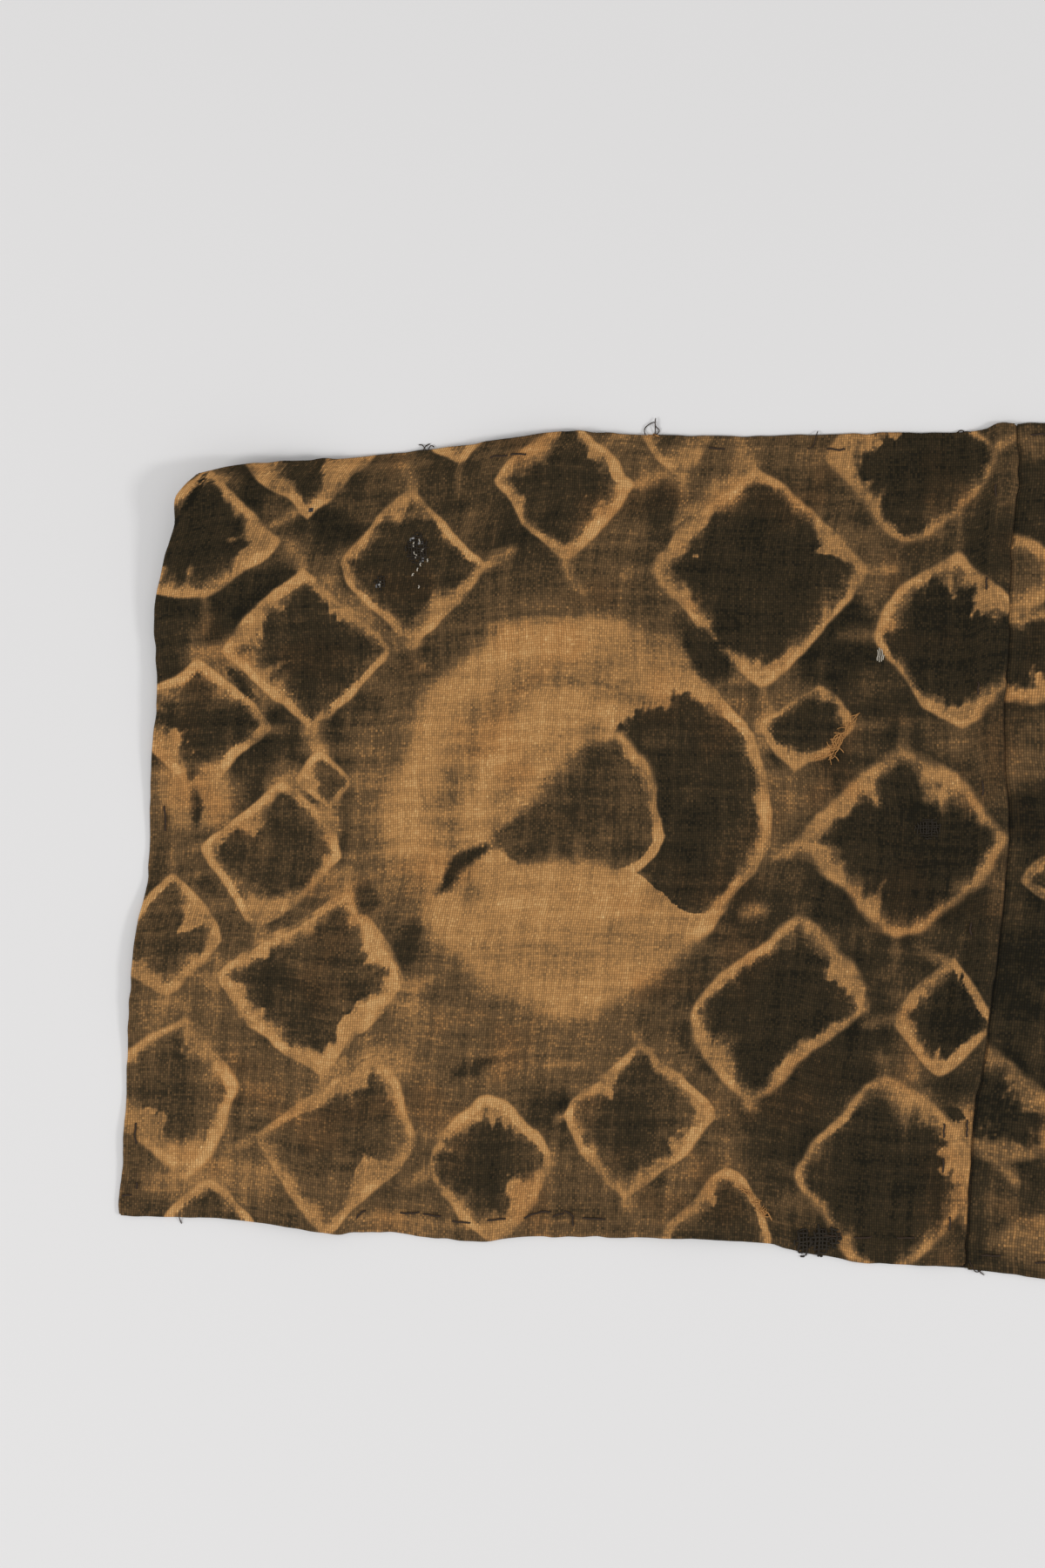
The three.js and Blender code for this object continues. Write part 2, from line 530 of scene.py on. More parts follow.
@dataclass(frozen=True)
class DyePattern:
    """The dye of one panel, as fields over the cloth that its finish turns to colour.

    Washes lie on the ground, fill washes inside the rings, band washes in their paler cloth, and blots on
    top; two of the left panel's blots are painted shadows beside folds. Wobbles are cell and reach of the
    wandering that moves the whole pattern. Narrowing makes the paler cloth's width uneven and brightening its
    tone. A stain is dye that has crept inwards from a ring's edge, and a spot is the size below which a dark
    wash keeps bridges off it.
    """

    rings: tuple[Ring, ...]
    eyes: tuple[Ring, ...]
    ground: float
    washes: tuple[Wash, ...]
    fill_washes: tuple[Wash, ...]
    band_washes: tuple[Wash, ...]
    blots: tuple[Wash, ...]
    seed: int
    wobble: tuple[tuple[float, float], ...] = ((27.0, 3.4), (12.0, 1.7), (4.5, 0.5))
    across_seed: int = 40
    far: float = 60.0
    broad: float = 1.2
    uneven: float = 0.35
    narrowing: tuple[Cloud, Cloud] = (Cloud(1.7, 13.0, 21), Cloud(0.45, 7.0, 22))
    brightening: tuple[Cloud, ...] = (Cloud(1.0, 17.0, 23), Cloud(0.5, 6.0, 24))
    brightest: float = 0.3
    patchy: float = 0.40
    cloudy: float = 0.32
    swelling: float = 0.9
    stain: float = 0.16
    stain_reach: float = 9.0
    ground_clouds: tuple[Cloud, ...] = (Cloud(0.09, 34.0, 90), Cloud(0.06, 13.0, 91))
    halo_reach: float = 2.6
    halo_most: float = 0.56
    moat: float = 0.10
    moat_reach: float = 9.0
    moat_cloud: Cloud = Cloud(0.9, 16.0, 92)
    moat_below: float = 0.52
    moat_fade: float = 0.2
    bridge: float = 0.53
    bridge_reach: float = 19.0
    bridge_share: float = 0.7
    bridge_cloud: Cloud = Cloud(1.1, 9.0, 93)
    spot: float = 30.0
    blot_bend: float = 1.6

    def _wobbled(self, x: np.ndarray, y: np.ndarray) -> tuple[np.ndarray, np.ndarray]:
        """Moves places a little, so that no tied line is even.

        Args:
            x: Places along the cloth.
            y: Places across the cloth.

        Returns:
            The moved places.
        """
        for step, (cell, reach) in enumerate(self.wobble):
            x = x + Cloud(reach, cell, step).at(x, y, self.seed)
            y = y + Cloud(reach, cell, step + self.across_seed).at(x, y, self.seed)
        return x, y

    def _nearest(self, rings: tuple[Ring, ...], x: np.ndarray, y: np.ndarray) -> Rings:
        """Reads the ring that each place is in or nearest to.

        Args:
            rings: The rings to read.
            x: Places along the cloth.
            y: Places across the cloth.

        Returns:
            The fields of those rings.
        """
        uneven = np.tanh(self.narrowing[0].at(x, y)) + self.narrowing[1].at(x, y)
        brighter = sum(cloud.at(x, y) for cloud in self.brightening)
        shape = np.full(x.shape + (3,), self.far)
        shape[..., 1:] = 0
        tones = np.ones(x.shape + (3,))
        lines = np.zeros(x.shape + (3,))
        halo = np.zeros_like(x)
        moat = np.zeros_like(x)
        second = np.full_like(x, self.far)
        for ring in rings:
            gap, width, soft = ring.read(x, y)
            if not ring.softs:
                width = self.broad * width * (1 + self.uneven * uneven)
            near = gap < shape[..., 0]
            second = np.where(near, shape[..., 0], np.minimum(second, gap))
            ripple = ring.ripple(gap)
            band = ring.band * (1 + self.patchy * np.minimum(brighter, self.brightest)) + ripple
            fill = ring.fill * (1 + self.cloudy * (brighter - uneven))
            fill = fill + self.stain * (1 + uneven) * np.exp(np.minimum(gap, 0) / self.stain_reach)
            line = ring.line * (1 + self.swelling * brighter)
            for store, row in (
                (shape, (gap, width, ring.out + 0 * gap)),
                (tones, (soft, fill, band)),
                (lines, (line, ring.inside + ripple, 0 * gap)),
            ):
                store[near] = np.stack(row, axis=-1)[near]
            outside = np.clip(gap, 0, None)
            halo += ring.halo * np.exp(-outside / self.halo_reach)
            if ring.halo:
                moat = np.maximum(moat, np.exp(-((outside / self.moat_reach) ** 2)))
        between = np.clip(shape[..., 0], 0, None) + np.clip(second, 0, None)
        return Rings(shape, tones, lines, halo, moat, np.exp(-((between / self.bridge_reach) ** 2)))

    def _ground(self, rings: Rings, x: np.ndarray, y: np.ndarray) -> np.ndarray:
        """Works out the ground between the rings.

        Args:
            rings: The fields of the nearest rings.
            x: Places along the cloth.
            y: Places across the cloth.

        Returns:
            The ground's tone.
        """
        ground = self.ground
        for cloud in self.ground_clouds:
            ground = ground + cloud.at(x, y, self.seed)
        dyed = np.zeros_like(x)
        for wash in self.washes:
            ground = wash.over(ground, x, y)
            if wash.tone < self.ground and wash.half_x < self.spot:
                dyed = np.maximum(dyed, wash.mask(x, y))
        darker = rings.moat * (1 + self.moat_cloud.at(x, y, self.seed))
        darker = self.moat * darker * np.clip((self.moat_below - ground) / self.moat_fade, 0, 1)
        ground = np.clip(ground - darker, 0, None)
        patches = np.clip(self.bridge_share + self.bridge_cloud.at(x, y, self.seed), 0, 1)
        ground = ground + np.clip(self.bridge - ground, 0, None) * rings.bridge * patches * (1 - dyed)
        for streak in (tail for ring in self.rings if ring.halo for tail in ring.tails()):
            mask = streak.mask(x, y)
            ground = ground * (1 - mask) + np.maximum(ground, streak.tone) * mask
        return np.minimum(ground + rings.halo, np.maximum(ground, self.halo_most))

    def fields(self, x: np.ndarray, y: np.ndarray) -> dict[str, np.ndarray]:
        """Works out the dye at places on the cloth.

        Args:
            x: Places along the cloth.
            y: Places across the cloth.

        Returns:
            One array of three columns for each attribute that the finish reads.
        """
        x, y = self._wobbled(x, y)
        rings = self._nearest(self.rings, x, y)
        eyes = self._nearest(self.eyes, x, y)
        rings.lines[..., 2] = self._ground(rings, x, y)
        for wash in self.fill_washes:
            rings.tones[..., 1] = wash.over(rings.tones[..., 1], x, y)
        for wash in self.band_washes:
            rings.tones[..., 2] = wash.over(rings.tones[..., 2], x, y)
            rings.lines[..., 1] = wash.over(rings.lines[..., 1], x, y)
        blots = np.stack([np.full_like(x, self.far), np.ones_like(x), np.zeros_like(x)], axis=-1)
        for blot in self.blots:
            gap = blot.gap(x, y, self.blot_bend)
            near = gap < blots[..., 0]
            blots[near, 0] = gap[near]
            blots[near, 1:] = (blot.soft, blot.tone)
        return {
            "ring_shape": rings.shape,
            "ring_tones": rings.tones,
            "ring_lines": rings.lines,
            "eye_shape": eyes.shape,
            "eye_tones": eyes.tones,
            "eye_lines": eyes.lines,
            "blots": blots,
        }


LEFT_DYE = DyePattern(
    seed=3,
    ground=0.24,
    rings=(
        # x, y, reaches west, east, north and south, widths of the paler cloth from the east tip round,
        # reach outwards, bend, lean, fill
        Ring(
            -403, 161, 36, 37, 33, 31, (7.3, 5.6, 3.0, 2.6, 3.5, 8.8, 4.0, 3.0), 0.5, 1.12, 0.02, 0.06,
            band=0.67, bends=(1.12, 1.12, 2.60, 1.12),
        ),
        Ring(
            -350.5, 105, 44, 41, 41, 42, (2.6, 5.3, 3.0, 4.4, 7.4, 6.4, 3.0, 2.8), 0.5, 1.08, -0.09, 0.12,
            band=0.68,
        ),
        Ring(
            -298, 147, 38, 38, 37, 38, (3.5, 3.5, 4.0, 3.0, 3.5, 4.8, 4.0, 8.3), 0.5, 1.14, 0.00, 0.12,
            band=0.70,
        ),
        Ring(-350, 208, 36, 37, 34, 37, (9.8, 4.0, 3.0, 4.0, 7.8, 10.3, 3.0, 8.8), 1.8, 1.05, 0.00, 0.13),
        Ring(-219, 189, 36, 37, 36, 41, (5.3, 6.3, 3.0, 7.3, 4.0, 3.0, 4.0, 7.8), 0.5, 1.10, 0.00, 0.12),
        Ring(-275, 215, 17, 18, 16, 14, (3.0, 3.0, 3.0, 3.0, 3.0, 3.0, 3.0, 3.0), 1.0, 1.25, 0.00, 0.28),
        Ring(
            -119, 145, 58, 59, 54, 59, (9.0, 3.0, 3.0, 5.0, 6.0, 4.4, 6.4, 2.0), 0.8, 1.12, -0.03, 0.09,
            soft=1.3, line=2.2, band=0.65, flame=7.0,
        ),
        Ring(
            -161, 216, 17, 25, 18, 23, (3.0, 3.0, 3.0, 3.0, 3.0, 2.4, 3.6, 7.0), 0.8, 1.12, 0.00, 0.20,
            band=0.60, inside=0.56,
        ),
        Ring(
            -40, 206, 45, 45, 40, 48, (1.4, 1.6, 3.0, 9.8, 9.3, 6.8, 2.4, 1.4), 0.6, 1.12, 0.05, 0.06,
            line=1.8, soft=1.4, band=0.56, bends=(1.12, 1.12, 1.12, 1.45),
        ),
        Ring(
            -15, 112, 45, 38, 41, 47, (4.0, 14.8, 9.3, 6.3, 2.1, 3.5, 9.8, 4.0), 0.5, 1.28, -0.05, 0.06,
            soft=1.3, line=2.2, band=0.63,
        ),
        Ring(
            -94, 64, 24, 26, 21, 23, (2.6, 1.8, 3.4, 1.8, 3.8, 1.8, 4.6, 2.0), 0.5, 1.18, 0.15, 0.08,
            line=2.0, band=0.60, flame=6.0,
        ),
        Ring(
            -46, 6, 53, 53, 48, 54, (3.5, 12.0, 4.0, 9.0, 14.3, 5.3, 7.5, 5.3), 0.5, 1.20, 0.04, 0.07,
            soft=2.4, band=0.57, bends=(1.35, 1.15, 1.10, 1.30),
        ),
        Ring(
            -110, -81, 44, 46, 44, 47, (2.6, 10.3, 3.0, 5.0, 3.5, 7.3, 3.0, 10.8), 0.5, 1.22, 0.30, 0.07,
            soft=1.5, band=0.64, tail=3.0, bends=(1.50, 1.35, 1.15, 1.12),
        ),
        Ring(
            -182, -138, 39, 40, 43, 42, (7.3, 6.3, 2.6, 6.8, 4.0, 6.3, 2.6, 6.8), 0.5, 1.14, 0.09, 0.22,
            tail=4.0,
        ),
        Ring(-257, -162, 33, 32, 36, 38, (2.6, 4.0, 6.5, 2.6, 2.6, 3.5, 5.3, 13.8), 0.5, 1.38, -0.10, 0.18),
        Ring(
            -327, -150, 50, 30, 48, 46, (5.0, 3.5, 6.3, 7.3, 3.0, 2.6, 5.5, 12.0), 0.5, 1.12, 0.33, 0.29,
            flame=4.0,
        ),
        Ring(
            -339, -67, 60, 37, 44, 48, (8.0, 7.0, 4.0, 6.0, 3.5, 4.0, 6.3, 18.0), 1.4, 1.16, 0.17, 0.21,
            inside=0.74, band=0.70, flame=6.0,
        ),
        Ring(
            -371, -1, 36, 37, 38, 38, (3.5, 3.5, 3.5, 9.3, 4.0, 4.0, 7.8, 4.0), 0.5, 1.14, 0.15, 0.18,
            band=0.70,
        ),
        Ring(
            -343.5, 38, 13, 13, 13.5, 14, (1.8, 2.0, 1.8, 2.0, 5.8, 2.6, 1.8, 1.6), 0.5, 1.20, 0.00, 0.20,
            line=2.4, band=0.70,
        ),
        Ring(-408, 66, 36, 37, 34, 36, (3.5, 5.3, 3.5, 5.8, 6.3, 9.8, 5.8, 2.6), 0.5, 1.12, 0.03, 0.12),
        Ring(-425, -48, 30, 27, 36, 25, (3.5, 7.3, 3.0, 3.0, 3.5, 5.3, 3.5, 2.6), 0.5, 1.12, 0.10, 0.24),
        Ring(
            -418, -123, 39, 32, 35, 46, (3.5, 5.3, 3.5, 4.0, 6.3, 10.8, 8.8, 4.0), 1.0, 1.22, 0.00, 0.29,
            soft=1.6,
        ),
        Ring(-405, -197, 22, 27, 26, 26, (2.6, 2.6, 2.6, 3.0, 3.0, 3.0, 2.6, 2.6), 1.0, 1.35, 0.00, 0.20),
        Ring(
            -137, -201, 31, 26, 37, 36, (3.5, 4.0, 3.5, 4.0, 3.5, 3.5, 3.5, 3.5), 0.5, 1.15, 0.00, 0.16,
            band=0.62, bends=(1.60, 1.15, 1.15, 1.15),
        ),
        Ring(
            -55, -166, 44, 50, 48, 58, (7.8, 9.3, 5.5, 2.6, 4.0, 5.3, 4.0, 3.0), 0.5, 1.38, -0.02, 0.09,
            soft=1.6, band=0.60, bends=(1.60, 1.35, 1.30, 1.25),
        ),
        Ring(
            -23, -87, 25, 24, 28, 27, (2.6, 3.0, 2.6, 4.0, 3.4, 4.6, 4.2, 2.1), 0.5, 1.20, 0.10, 0.01,
            line=2.8, band=0.60,
        ),
        # the big ring, with a broad soft line all round but for its east side
        Ring(
            -212, 19, 99, 100, 103, 103,
            (4.6, 4.6, 12.6, 27.0, 50.0, 110.0, 110.0, 110.0, 110.0, 50.0, 6.0, 5.4),
            1.0, 1.9, 0.0, 0.12, band=0.64, inside=0.64, halo=0.0, line=3.2, bends=(1.75, 1.90, 1.95, 1.45),
            ripples=((31.0, 8.0, -0.11), (14.0, 9.0, 0.05), (47.0, 6.0, 0.09), (62.0, 8.0, -0.06)),
            angles=(0.0, 30.0, 46.0, 52.0, 60.0, 68.0, 135.0, 225.0, 312.0, 317.0, 321.0, 340.0),
            softs=(1.0, 1.0, 1.0, 2.0, 3.0, 6.5, 8.5, 8.5, 5.0, 1.4, 1.0, 1.0),
        ),
    ),
    eyes=(
        # the half-dark eye of the big ring
        Ring(
            -199, 8, 58, 33, 53, 24, (4.0, 4.0, 3.0, 3.0, 2.0, 2.0, 2.0, 4.0), 0.0, 1.6, 0.2, 0.21, line=4.2,
            band=0.66, inside=0.6, softs=(0.9, 0.9, 2.4, 11.0, 2.2, 1.6, 1.6, 0.9),
            bends=(1.35, 1.52, 2.0, 1.7),
        ),
    ),
    washes=(
        # x, y, half length, half width, turn, tone, softness, strength
        Wash(-400, -112, 62, 84, 0, 0.37, 24),
        Wash(-376, 118, 62, 84, 0, 0.13, 22),
        Wash(-60, -20, 62, 120, 0, 0.26, 26),
        Wash(-270, -160, 110, 46, 0, 0.34, 26),
        Wash(-232, 131, 72, 22, 6, 0.32, 12),
        Wash(-206, 168, 70, 24, 0, 0.38, 12, 0.7),
        Wash(-318, 46, 16, 56, 0, 0.44, 12),
        Wash(-236, -100, 84, 32, 0, 0.40, 14),
        Wash(-170, -162, 60, 20, 0, 0.40, 14, 0.8),
        Wash(-318, -18, 18, 30, 0, 0.39, 10),
        Wash(-306, -84, 14, 22, 0, 0.37, 9),
        Wash(-326, 125, 32, 5, -44, 0.44, 5),
        Wash(-374, -45, 26, 6, 28, 0.42, 4),
        Wash(-390, 112, 7, 10, 0, 0.38, 5),
        Wash(-412, 28, 24, 20, 0, 0.57, 8),
        Wash(-436, 10, 10, 24, 0, 0.37, 8),
        Wash(-418, -84, 28, 14, 0, 0.42, 9),
        Wash(-330, -106, 20, 7, 30, 0.50, 5),
        Wash(-243, 164, 20, 18, 0, 0.18, 7),
        Wash(-346, 166, 17, 11, 0, 0.10, 6),
        Wash(-394, 124, 15, 11, 20, 0.11, 6),
        Wash(-122, -30, 16, 17, 0, 0.13, 8),
        Wash(-76, -26, 20, 14, -35, 0.15, 8),
        Wash(-158, -64, 12, 16, 0, 0.22, 8),
        Wash(-226, -134, 10, 14, 0, 0.20, 7),
        Wash(-291, -150, 5, 10, 0, 0.26, 5),
        Wash(-380, -130, 9, 20, 0, 0.34, 6),
        Wash(-172, 145, 14, 22, 0, 0.31, 7),
        Wash(-95, 22, 18, 30, 0, 0.32, 9),
        Wash(-12, 52, 26, 20, 0, 0.25, 8),
        Wash(-80, 108, 22, 25, 0, 0.05, 8),
        Wash(-50, 68, 15, 13, 0, 0.12, 7),
        Wash(-78, 46, 10, 8, 0, 0.20, 5),
        Wash(0, 160, 15, 15, 0, 0.12, 8),
        Wash(-169, 175, 10, 15, 0, 0.15, 7),
        Wash(-362, 158, 6, 9, 0, 0.37, 5),
        Wash(-337, -17, 8, 10, 0, 0.50, 5),
        Wash(-311, -106, 13, 10, 0, 0.60, 6),
        Wash(-298, -82, 7, 18, -8, 0.52, 6),
        Wash(-135, 80, 24, 4, -20, 0.40, 4),
        Wash(-361, 171, 10, 2.6, 12, 0.58, 2.4),
        Wash(-417, 180, 5, 9, -20, 0.56, 3.0),
        Wash(-402, 188, 12, 3.5, 20, 0.58, 3.0),
        Wash(-361, 39, 7, 2.6, 38, 0.60, 2.4),
        Wash(-31, -58, 13, 2.8, -28, 0.56, 2.6),
        Wash(-70, 152, 16, 18, 0, 0.37, 8),
        Wash(-100, 208, 40, 10, 0, 0.37, 7),
        Wash(-152, 182, 12, 12, 0, 0.29, 6),
        Wash(-402, -171, 36, 11, 0, 0.53, 8),
        Wash(-300, -190, 38, 9, 0, 0.46, 7),
        Wash(-12, -160, 7, 34, 0, 0.55, 3),
        Wash(-45, -112, 10, 12, 0, 0.42, 6),
        Wash(-230, -196, 34, 9, 0, 0.41, 8),
        Wash(-60, -58, 26, 10, 0, 0.20, 8),
        Wash(-57, -86, 9, 14, 0, 0.10, 6),
        Wash(-68, -102, 18, 22, 0, 0.12, 9),
        Wash(-104, -150, 20, 28, 0, 0.13, 10),
        Wash(-372, 137, 16, 8, 40, 0.16, 5),
        Wash(-320, 76, 9, 7, 30, 0.22, 6),
        Wash(-8, -45, 16, 22, 0, 0.12, 9),
        Wash(-121, -34, 8, 4, 0, 0.52, 4.0),
        Wash(-298, 104, 12, 5, -8, 0.16, 4),
        Wash(-87, -117, 14, 12, 0, 0.12, 8),
        Wash(-144, 185, 27, 5, 40, 0.54, 5),
        Wash(-384, 125, 11, 7, 40, 0.12, 5),
        Wash(-20, -120, 12, 9, 0, 0.14, 5),
    ),
    fill_washes=(
        # paler or darker clouds inside the rings
        Wash(-418, -140, 14, 30, 0, 0.25, 10),
        Wash(-432, -118, 10, 30, 0, 0.32, 9),
        Wash(-20, 112, 22, 20, 0, 0.06, 10),
        Wash(-28, 8, 26, 24, 0, 0.04, 12),
        Wash(-258, -158, 16, 18, 0, 0.14, 9),
        Wash(-330, -132, 20, 18, 20, 0.20, 9),
        Wash(-43, -128, 6, 17, -8, 0.48, 5),
        Wash(-312, -178, 10, 8, 20, 0.48, 6),
    ),
    band_washes=(
        # clouds in the broad line
        Wash(-258, 68, 26, 12, 44, 0.52, 10, 0.6),
        Wash(-166, 104, 18, 10, -20, 0.50, 10, 0.7),
        Wash(-222, -26, 46, 16, 0, 0.72, 9, 0.8),
        Wash(-196, 97, 26, 10, -8, 0.58, 9, 0.7),
        Wash(-272, 86, 32, 9, 48, 0.68, 8, 0.6),
        Wash(-222, 62, 26, 7, 24, 0.72, 6, 0.8),
        Wash(-300, -25, 12, 16, 0, 0.44, 9, 0.8),
        Wash(-215, -52, 54, 14, 0, 0.63, 9, 0.9),
    ),
    blots=(
        Wash(-271, -9, 18, 3.4, 42, 0.08, 2.0),
        Wash(-182, 21, 9, 11, 0, 0.31, 7.0),
        Wash(-292, 102, 7, 4, -10, 0.20, 3.0),
        # a painted shadow: the dark line beside the pucker crease at (-17, -80)
        Wash(-14.5, -78, 1.5, 15, 3, 0.0, 1.0),
        Wash(-299, -46, 7, 13, -18, 0.15, 4.0),
        Wash(-16, -135, 3.4, 3.6, 0, 0.08, 0.8),
        Wash(-320, -26, 6, 9, 0, 0.16, 3.0),
        Wash(-410, 22, 2.2, 12, 0, 0.16, 2.0),
        Wash(-145, 101, 18, 11, -38, 0.12, 3.0),
        Wash(-333, 95, 5, 5, 0, 0.14, 1.4),
        Wash(-386, 88, 12, 2.4, -52, 0.13, 1.2),
        Wash(-222, -15, 44, 11, 1, 0.67, 4.5),
        Wash(-212, -1, 2.4, 8, 4, 0.55, 4.0),
        Wash(-226, -3, 2.0, 6, -6, 0.50, 4.0),
        Wash(-268, -112, 12, 4, 22, 0.18, 3.0),
        # a painted shadow: the dark band along the fold of the curled north-west corner
        Wash(-412, 178, 17, 1.6, 62, 0.02, 1.0),
        Wash(-95, -201, 5, 5, 12, 0.08, 4.0),
        Wash(-85, -200, 5, 5, -20, 0.08, 4.0),
    ),
)

RIGHT_DYE = DyePattern(
    seed=7,
    ground=0.20,
    rings=(
        Ring(
            7, 145, 26, 29, 21, 22, (4.0, 5.0, 4.0, 4.0, 4.6, 4.0, 4.0, 4.0), 1.0, 1.60, 0.0, 0.24,
            line=3.0, soft=1.8, band=0.60,
        ),
        Ring(
            22, 100, 60, 62, 26, 24, (4.0, 5.0, 6.0, 6.0, 4.6, 7.0, 8.0, 7.0), 1.0, 1.60, 0.9, 0.05,
            line=4.0, soft=1.8, band=0.58,
        ),
        Ring(
            44, -14, 26, 30, 17, 18, (4.0, 5.0, 4.0, 6.0, 4.6, 6.0, 4.6, 6.0), 1.0, 1.50, 0.0, 0.14,
            line=3.6, band=0.5,
        ),
        Ring(
            0, -134, 30, 44, 36, 27, (7.0, 8.0, 6.0, 6.0, 6.0, 7.0, 7.0, 8.0), 1.0, 1.60, -0.2, 0.06,
            line=5.0, soft=2.4, band=0.54, inside=0.50, bends=(1.10, 1.30, 1.60, 2.20),
        ),
        Ring(66, 206, 26, 24, 26, 30, (4.1, 5.4, 4.1, 6.2, 4.0, 5.0, 4.0, 6.0), 0.9, 1.30, 0.1, 0.10),
        Ring(54, -74, 22, 22, 26, 24, (3.1, 4.4, 3.1, 5.2, 3.0, 4.0, 3.0, 6.0), 0.9, 1.30, -0.1, 0.10),
        Ring(128, 186, 34, 36, 38, 36, (4.1, 5.4, 4.1, 6.2, 4.0, 5.0, 4.0, 8.0), 0.9, 1.30, 0.1, 0.08),
        Ring(206, 196, 38, 34, 34, 36, (4.1, 6.2, 4.0, 5.0, 4.0, 8.0, 4.1, 5.4), 0.9, 1.28, -0.1, 0.10),
        Ring(292, 186, 36, 40, 42, 40, (4.6, 7.0, 4.0, 5.0, 4.0, 6.0, 4.6, 6.0), 0.9, 1.32, 0.0, 0.08),
        Ring(386, 176, 44, 42, 44, 46, (4.6, 6.0, 4.6, 9.0, 4.0, 5.0, 4.0, 8.0), 0.9, 1.30, 0.12, 0.08),
        Ring(118, 96, 30, 30, 40, 38, (4.0, 5.0, 4.0, 8.0, 4.6, 6.0, 4.0, 5.0), 0.9, 1.28, -0.1, 0.09),
        Ring(112, 6, 30, 32, 34, 36, (4.1, 5.4, 4.0, 5.0, 4.0, 9.0, 4.6, 6.0), 0.9, 1.30, 0.1, 0.09),
        Ring(104, -84, 36, 38, 40, 42, (6.2, 8.0, 4.6, 6.0, 4.0, 5.0, 4.0, 9.0), 0.9, 1.32, 0.2, 0.10),
        Ring(88, -178, 34, 38, 36, 32, (4.0, 5.0, 4.0, 8.0, 4.6, 6.0, 4.0, 5.0), 0.9, 1.30, 0.0, 0.12),
        Ring(182, -170, 40, 38, 40, 36, (4.6, 6.0, 4.0, 5.0, 4.0, 8.0, 5.4, 9.0), 0.9, 1.34, -0.1, 0.10),
        Ring(276, -178, 38, 40, 38, 34, (4.6, 8.0, 4.6, 6.0, 4.0, 5.0, 4.0, 6.0), 0.9, 1.30, 0.1, 0.10),
        Ring(372, -164, 40, 42, 46, 44, (4.0, 5.4, 4.1, 9.0, 4.6, 6.0, 4.0, 5.0), 0.9, 1.32, 0.0, 0.09),
        Ring(404, 72, 36, 38, 42, 40, (4.6, 6.0, 4.0, 5.0, 4.0, 9.0, 4.6, 6.0), 0.9, 1.28, -0.1, 0.09),
        Ring(408, -28, 34, 36, 40, 42, (5.4, 8.0, 4.6, 6.0, 4.0, 5.0, 4.0, 8.0), 0.9, 1.30, 0.1, 0.10),
        Ring(
            352, 110, 18, 17, 19, 18, (2.8, 3.4, 2.8, 4.0, 2.8, 3.4, 2.8, 4.0), 0.8, 1.32, 0.0, 0.14,
            line=2.6,
        ),
        Ring(
            168, 134, 18, 18, 20, 18, (2.8, 3.4, 2.8, 4.6, 3.2, 4.0, 2.8, 3.4), 0.8, 1.30, 0.0, 0.14,
            line=2.6,
        ),
        Ring(
            262, 8, 98, 100, 96, 100, (110.0, 110.0, 110.0, 48.0, 14.0, 6.0, 7.0, 8.0, 46.0, 110.0),
            1.0, 1.9, 0.0, 0.10, band=0.63, inside=0.62, halo=0.0, line=5.0,
            ripples=((30.0, 9.0, -0.14), (13.0, 8.0, 0.03)),
            angles=(0.0, 60.0, 95.0, 118.0, 136.0, 150.0, 190.0, 216.0, 236.0, 270.0),
            softs=(10.0, 10.0, 9.0, 6.0, 2.0, 1.2, 1.2, 1.2, 4.0, 10.0),
        ),
    ),
    eyes=(
        Ring(
            264, 10, 46, 44, 40, 34, (8.0, 8.0, 5.0, 4.0, 5.0, 8.0), 1.0, 1.8, 0.0, 0.16,
            turn=-24.0, band=0.64, inside=0.6,
            angles=(0.0, 70.0, 120.0, 180.0, 230.0, 290.0), softs=(3.0, 5.0, 2.0, 1.0, 1.0, 4.0),
        ),
    ),
    washes=(
        Wash(24, 46, 26, 18, 0, 0.37, 10),
        Wash(26, 214, 12, 6, 0, 0.36, 6),
        Wash(20, 186, 24, 12, 0, 0.12, 8),
        Wash(24, 20, 30, 14, 0, 0.02, 8),
        Wash(16, -64, 30, 24, 0, 0.0, 10),
        Wash(24, -200, 26, 10, 4, 0.50, 5),
        Wash(262, 118, 78, 16, -4, 0.40, 14),
        Wash(262, -112, 76, 16, 4, 0.42, 14),
        Wash(158, 0, 16, 54, 0, 0.38, 12),
        Wash(366, 20, 14, 50, 0, 0.40, 12),
        Wash(330, -120, 24, 16, 20, 0.48, 9),
        Wash(160, 188, 10, 16, 0, 0.44, 7),
    ),
    fill_washes=(),
    band_washes=(
        Wash(258, -28, 46, 18, -3, 0.70, 6, 0.8),
        Wash(300, 54, 30, 9, -35, 0.50, 8, 0.7),
        Wash(248, 78, 40, 8, 0, 0.52, 9, 0.6),
        Wash(262, -70, 48, 8, -4, 0.54, 9, 0.6),
    ),
    blots=(
        Wash(322, -18, 18, 5.5, -38, 0.08, 0.9),
        Wash(346, -50, 9, 12, 20, 0.14, 1.8),
    ),
)


# The finishes


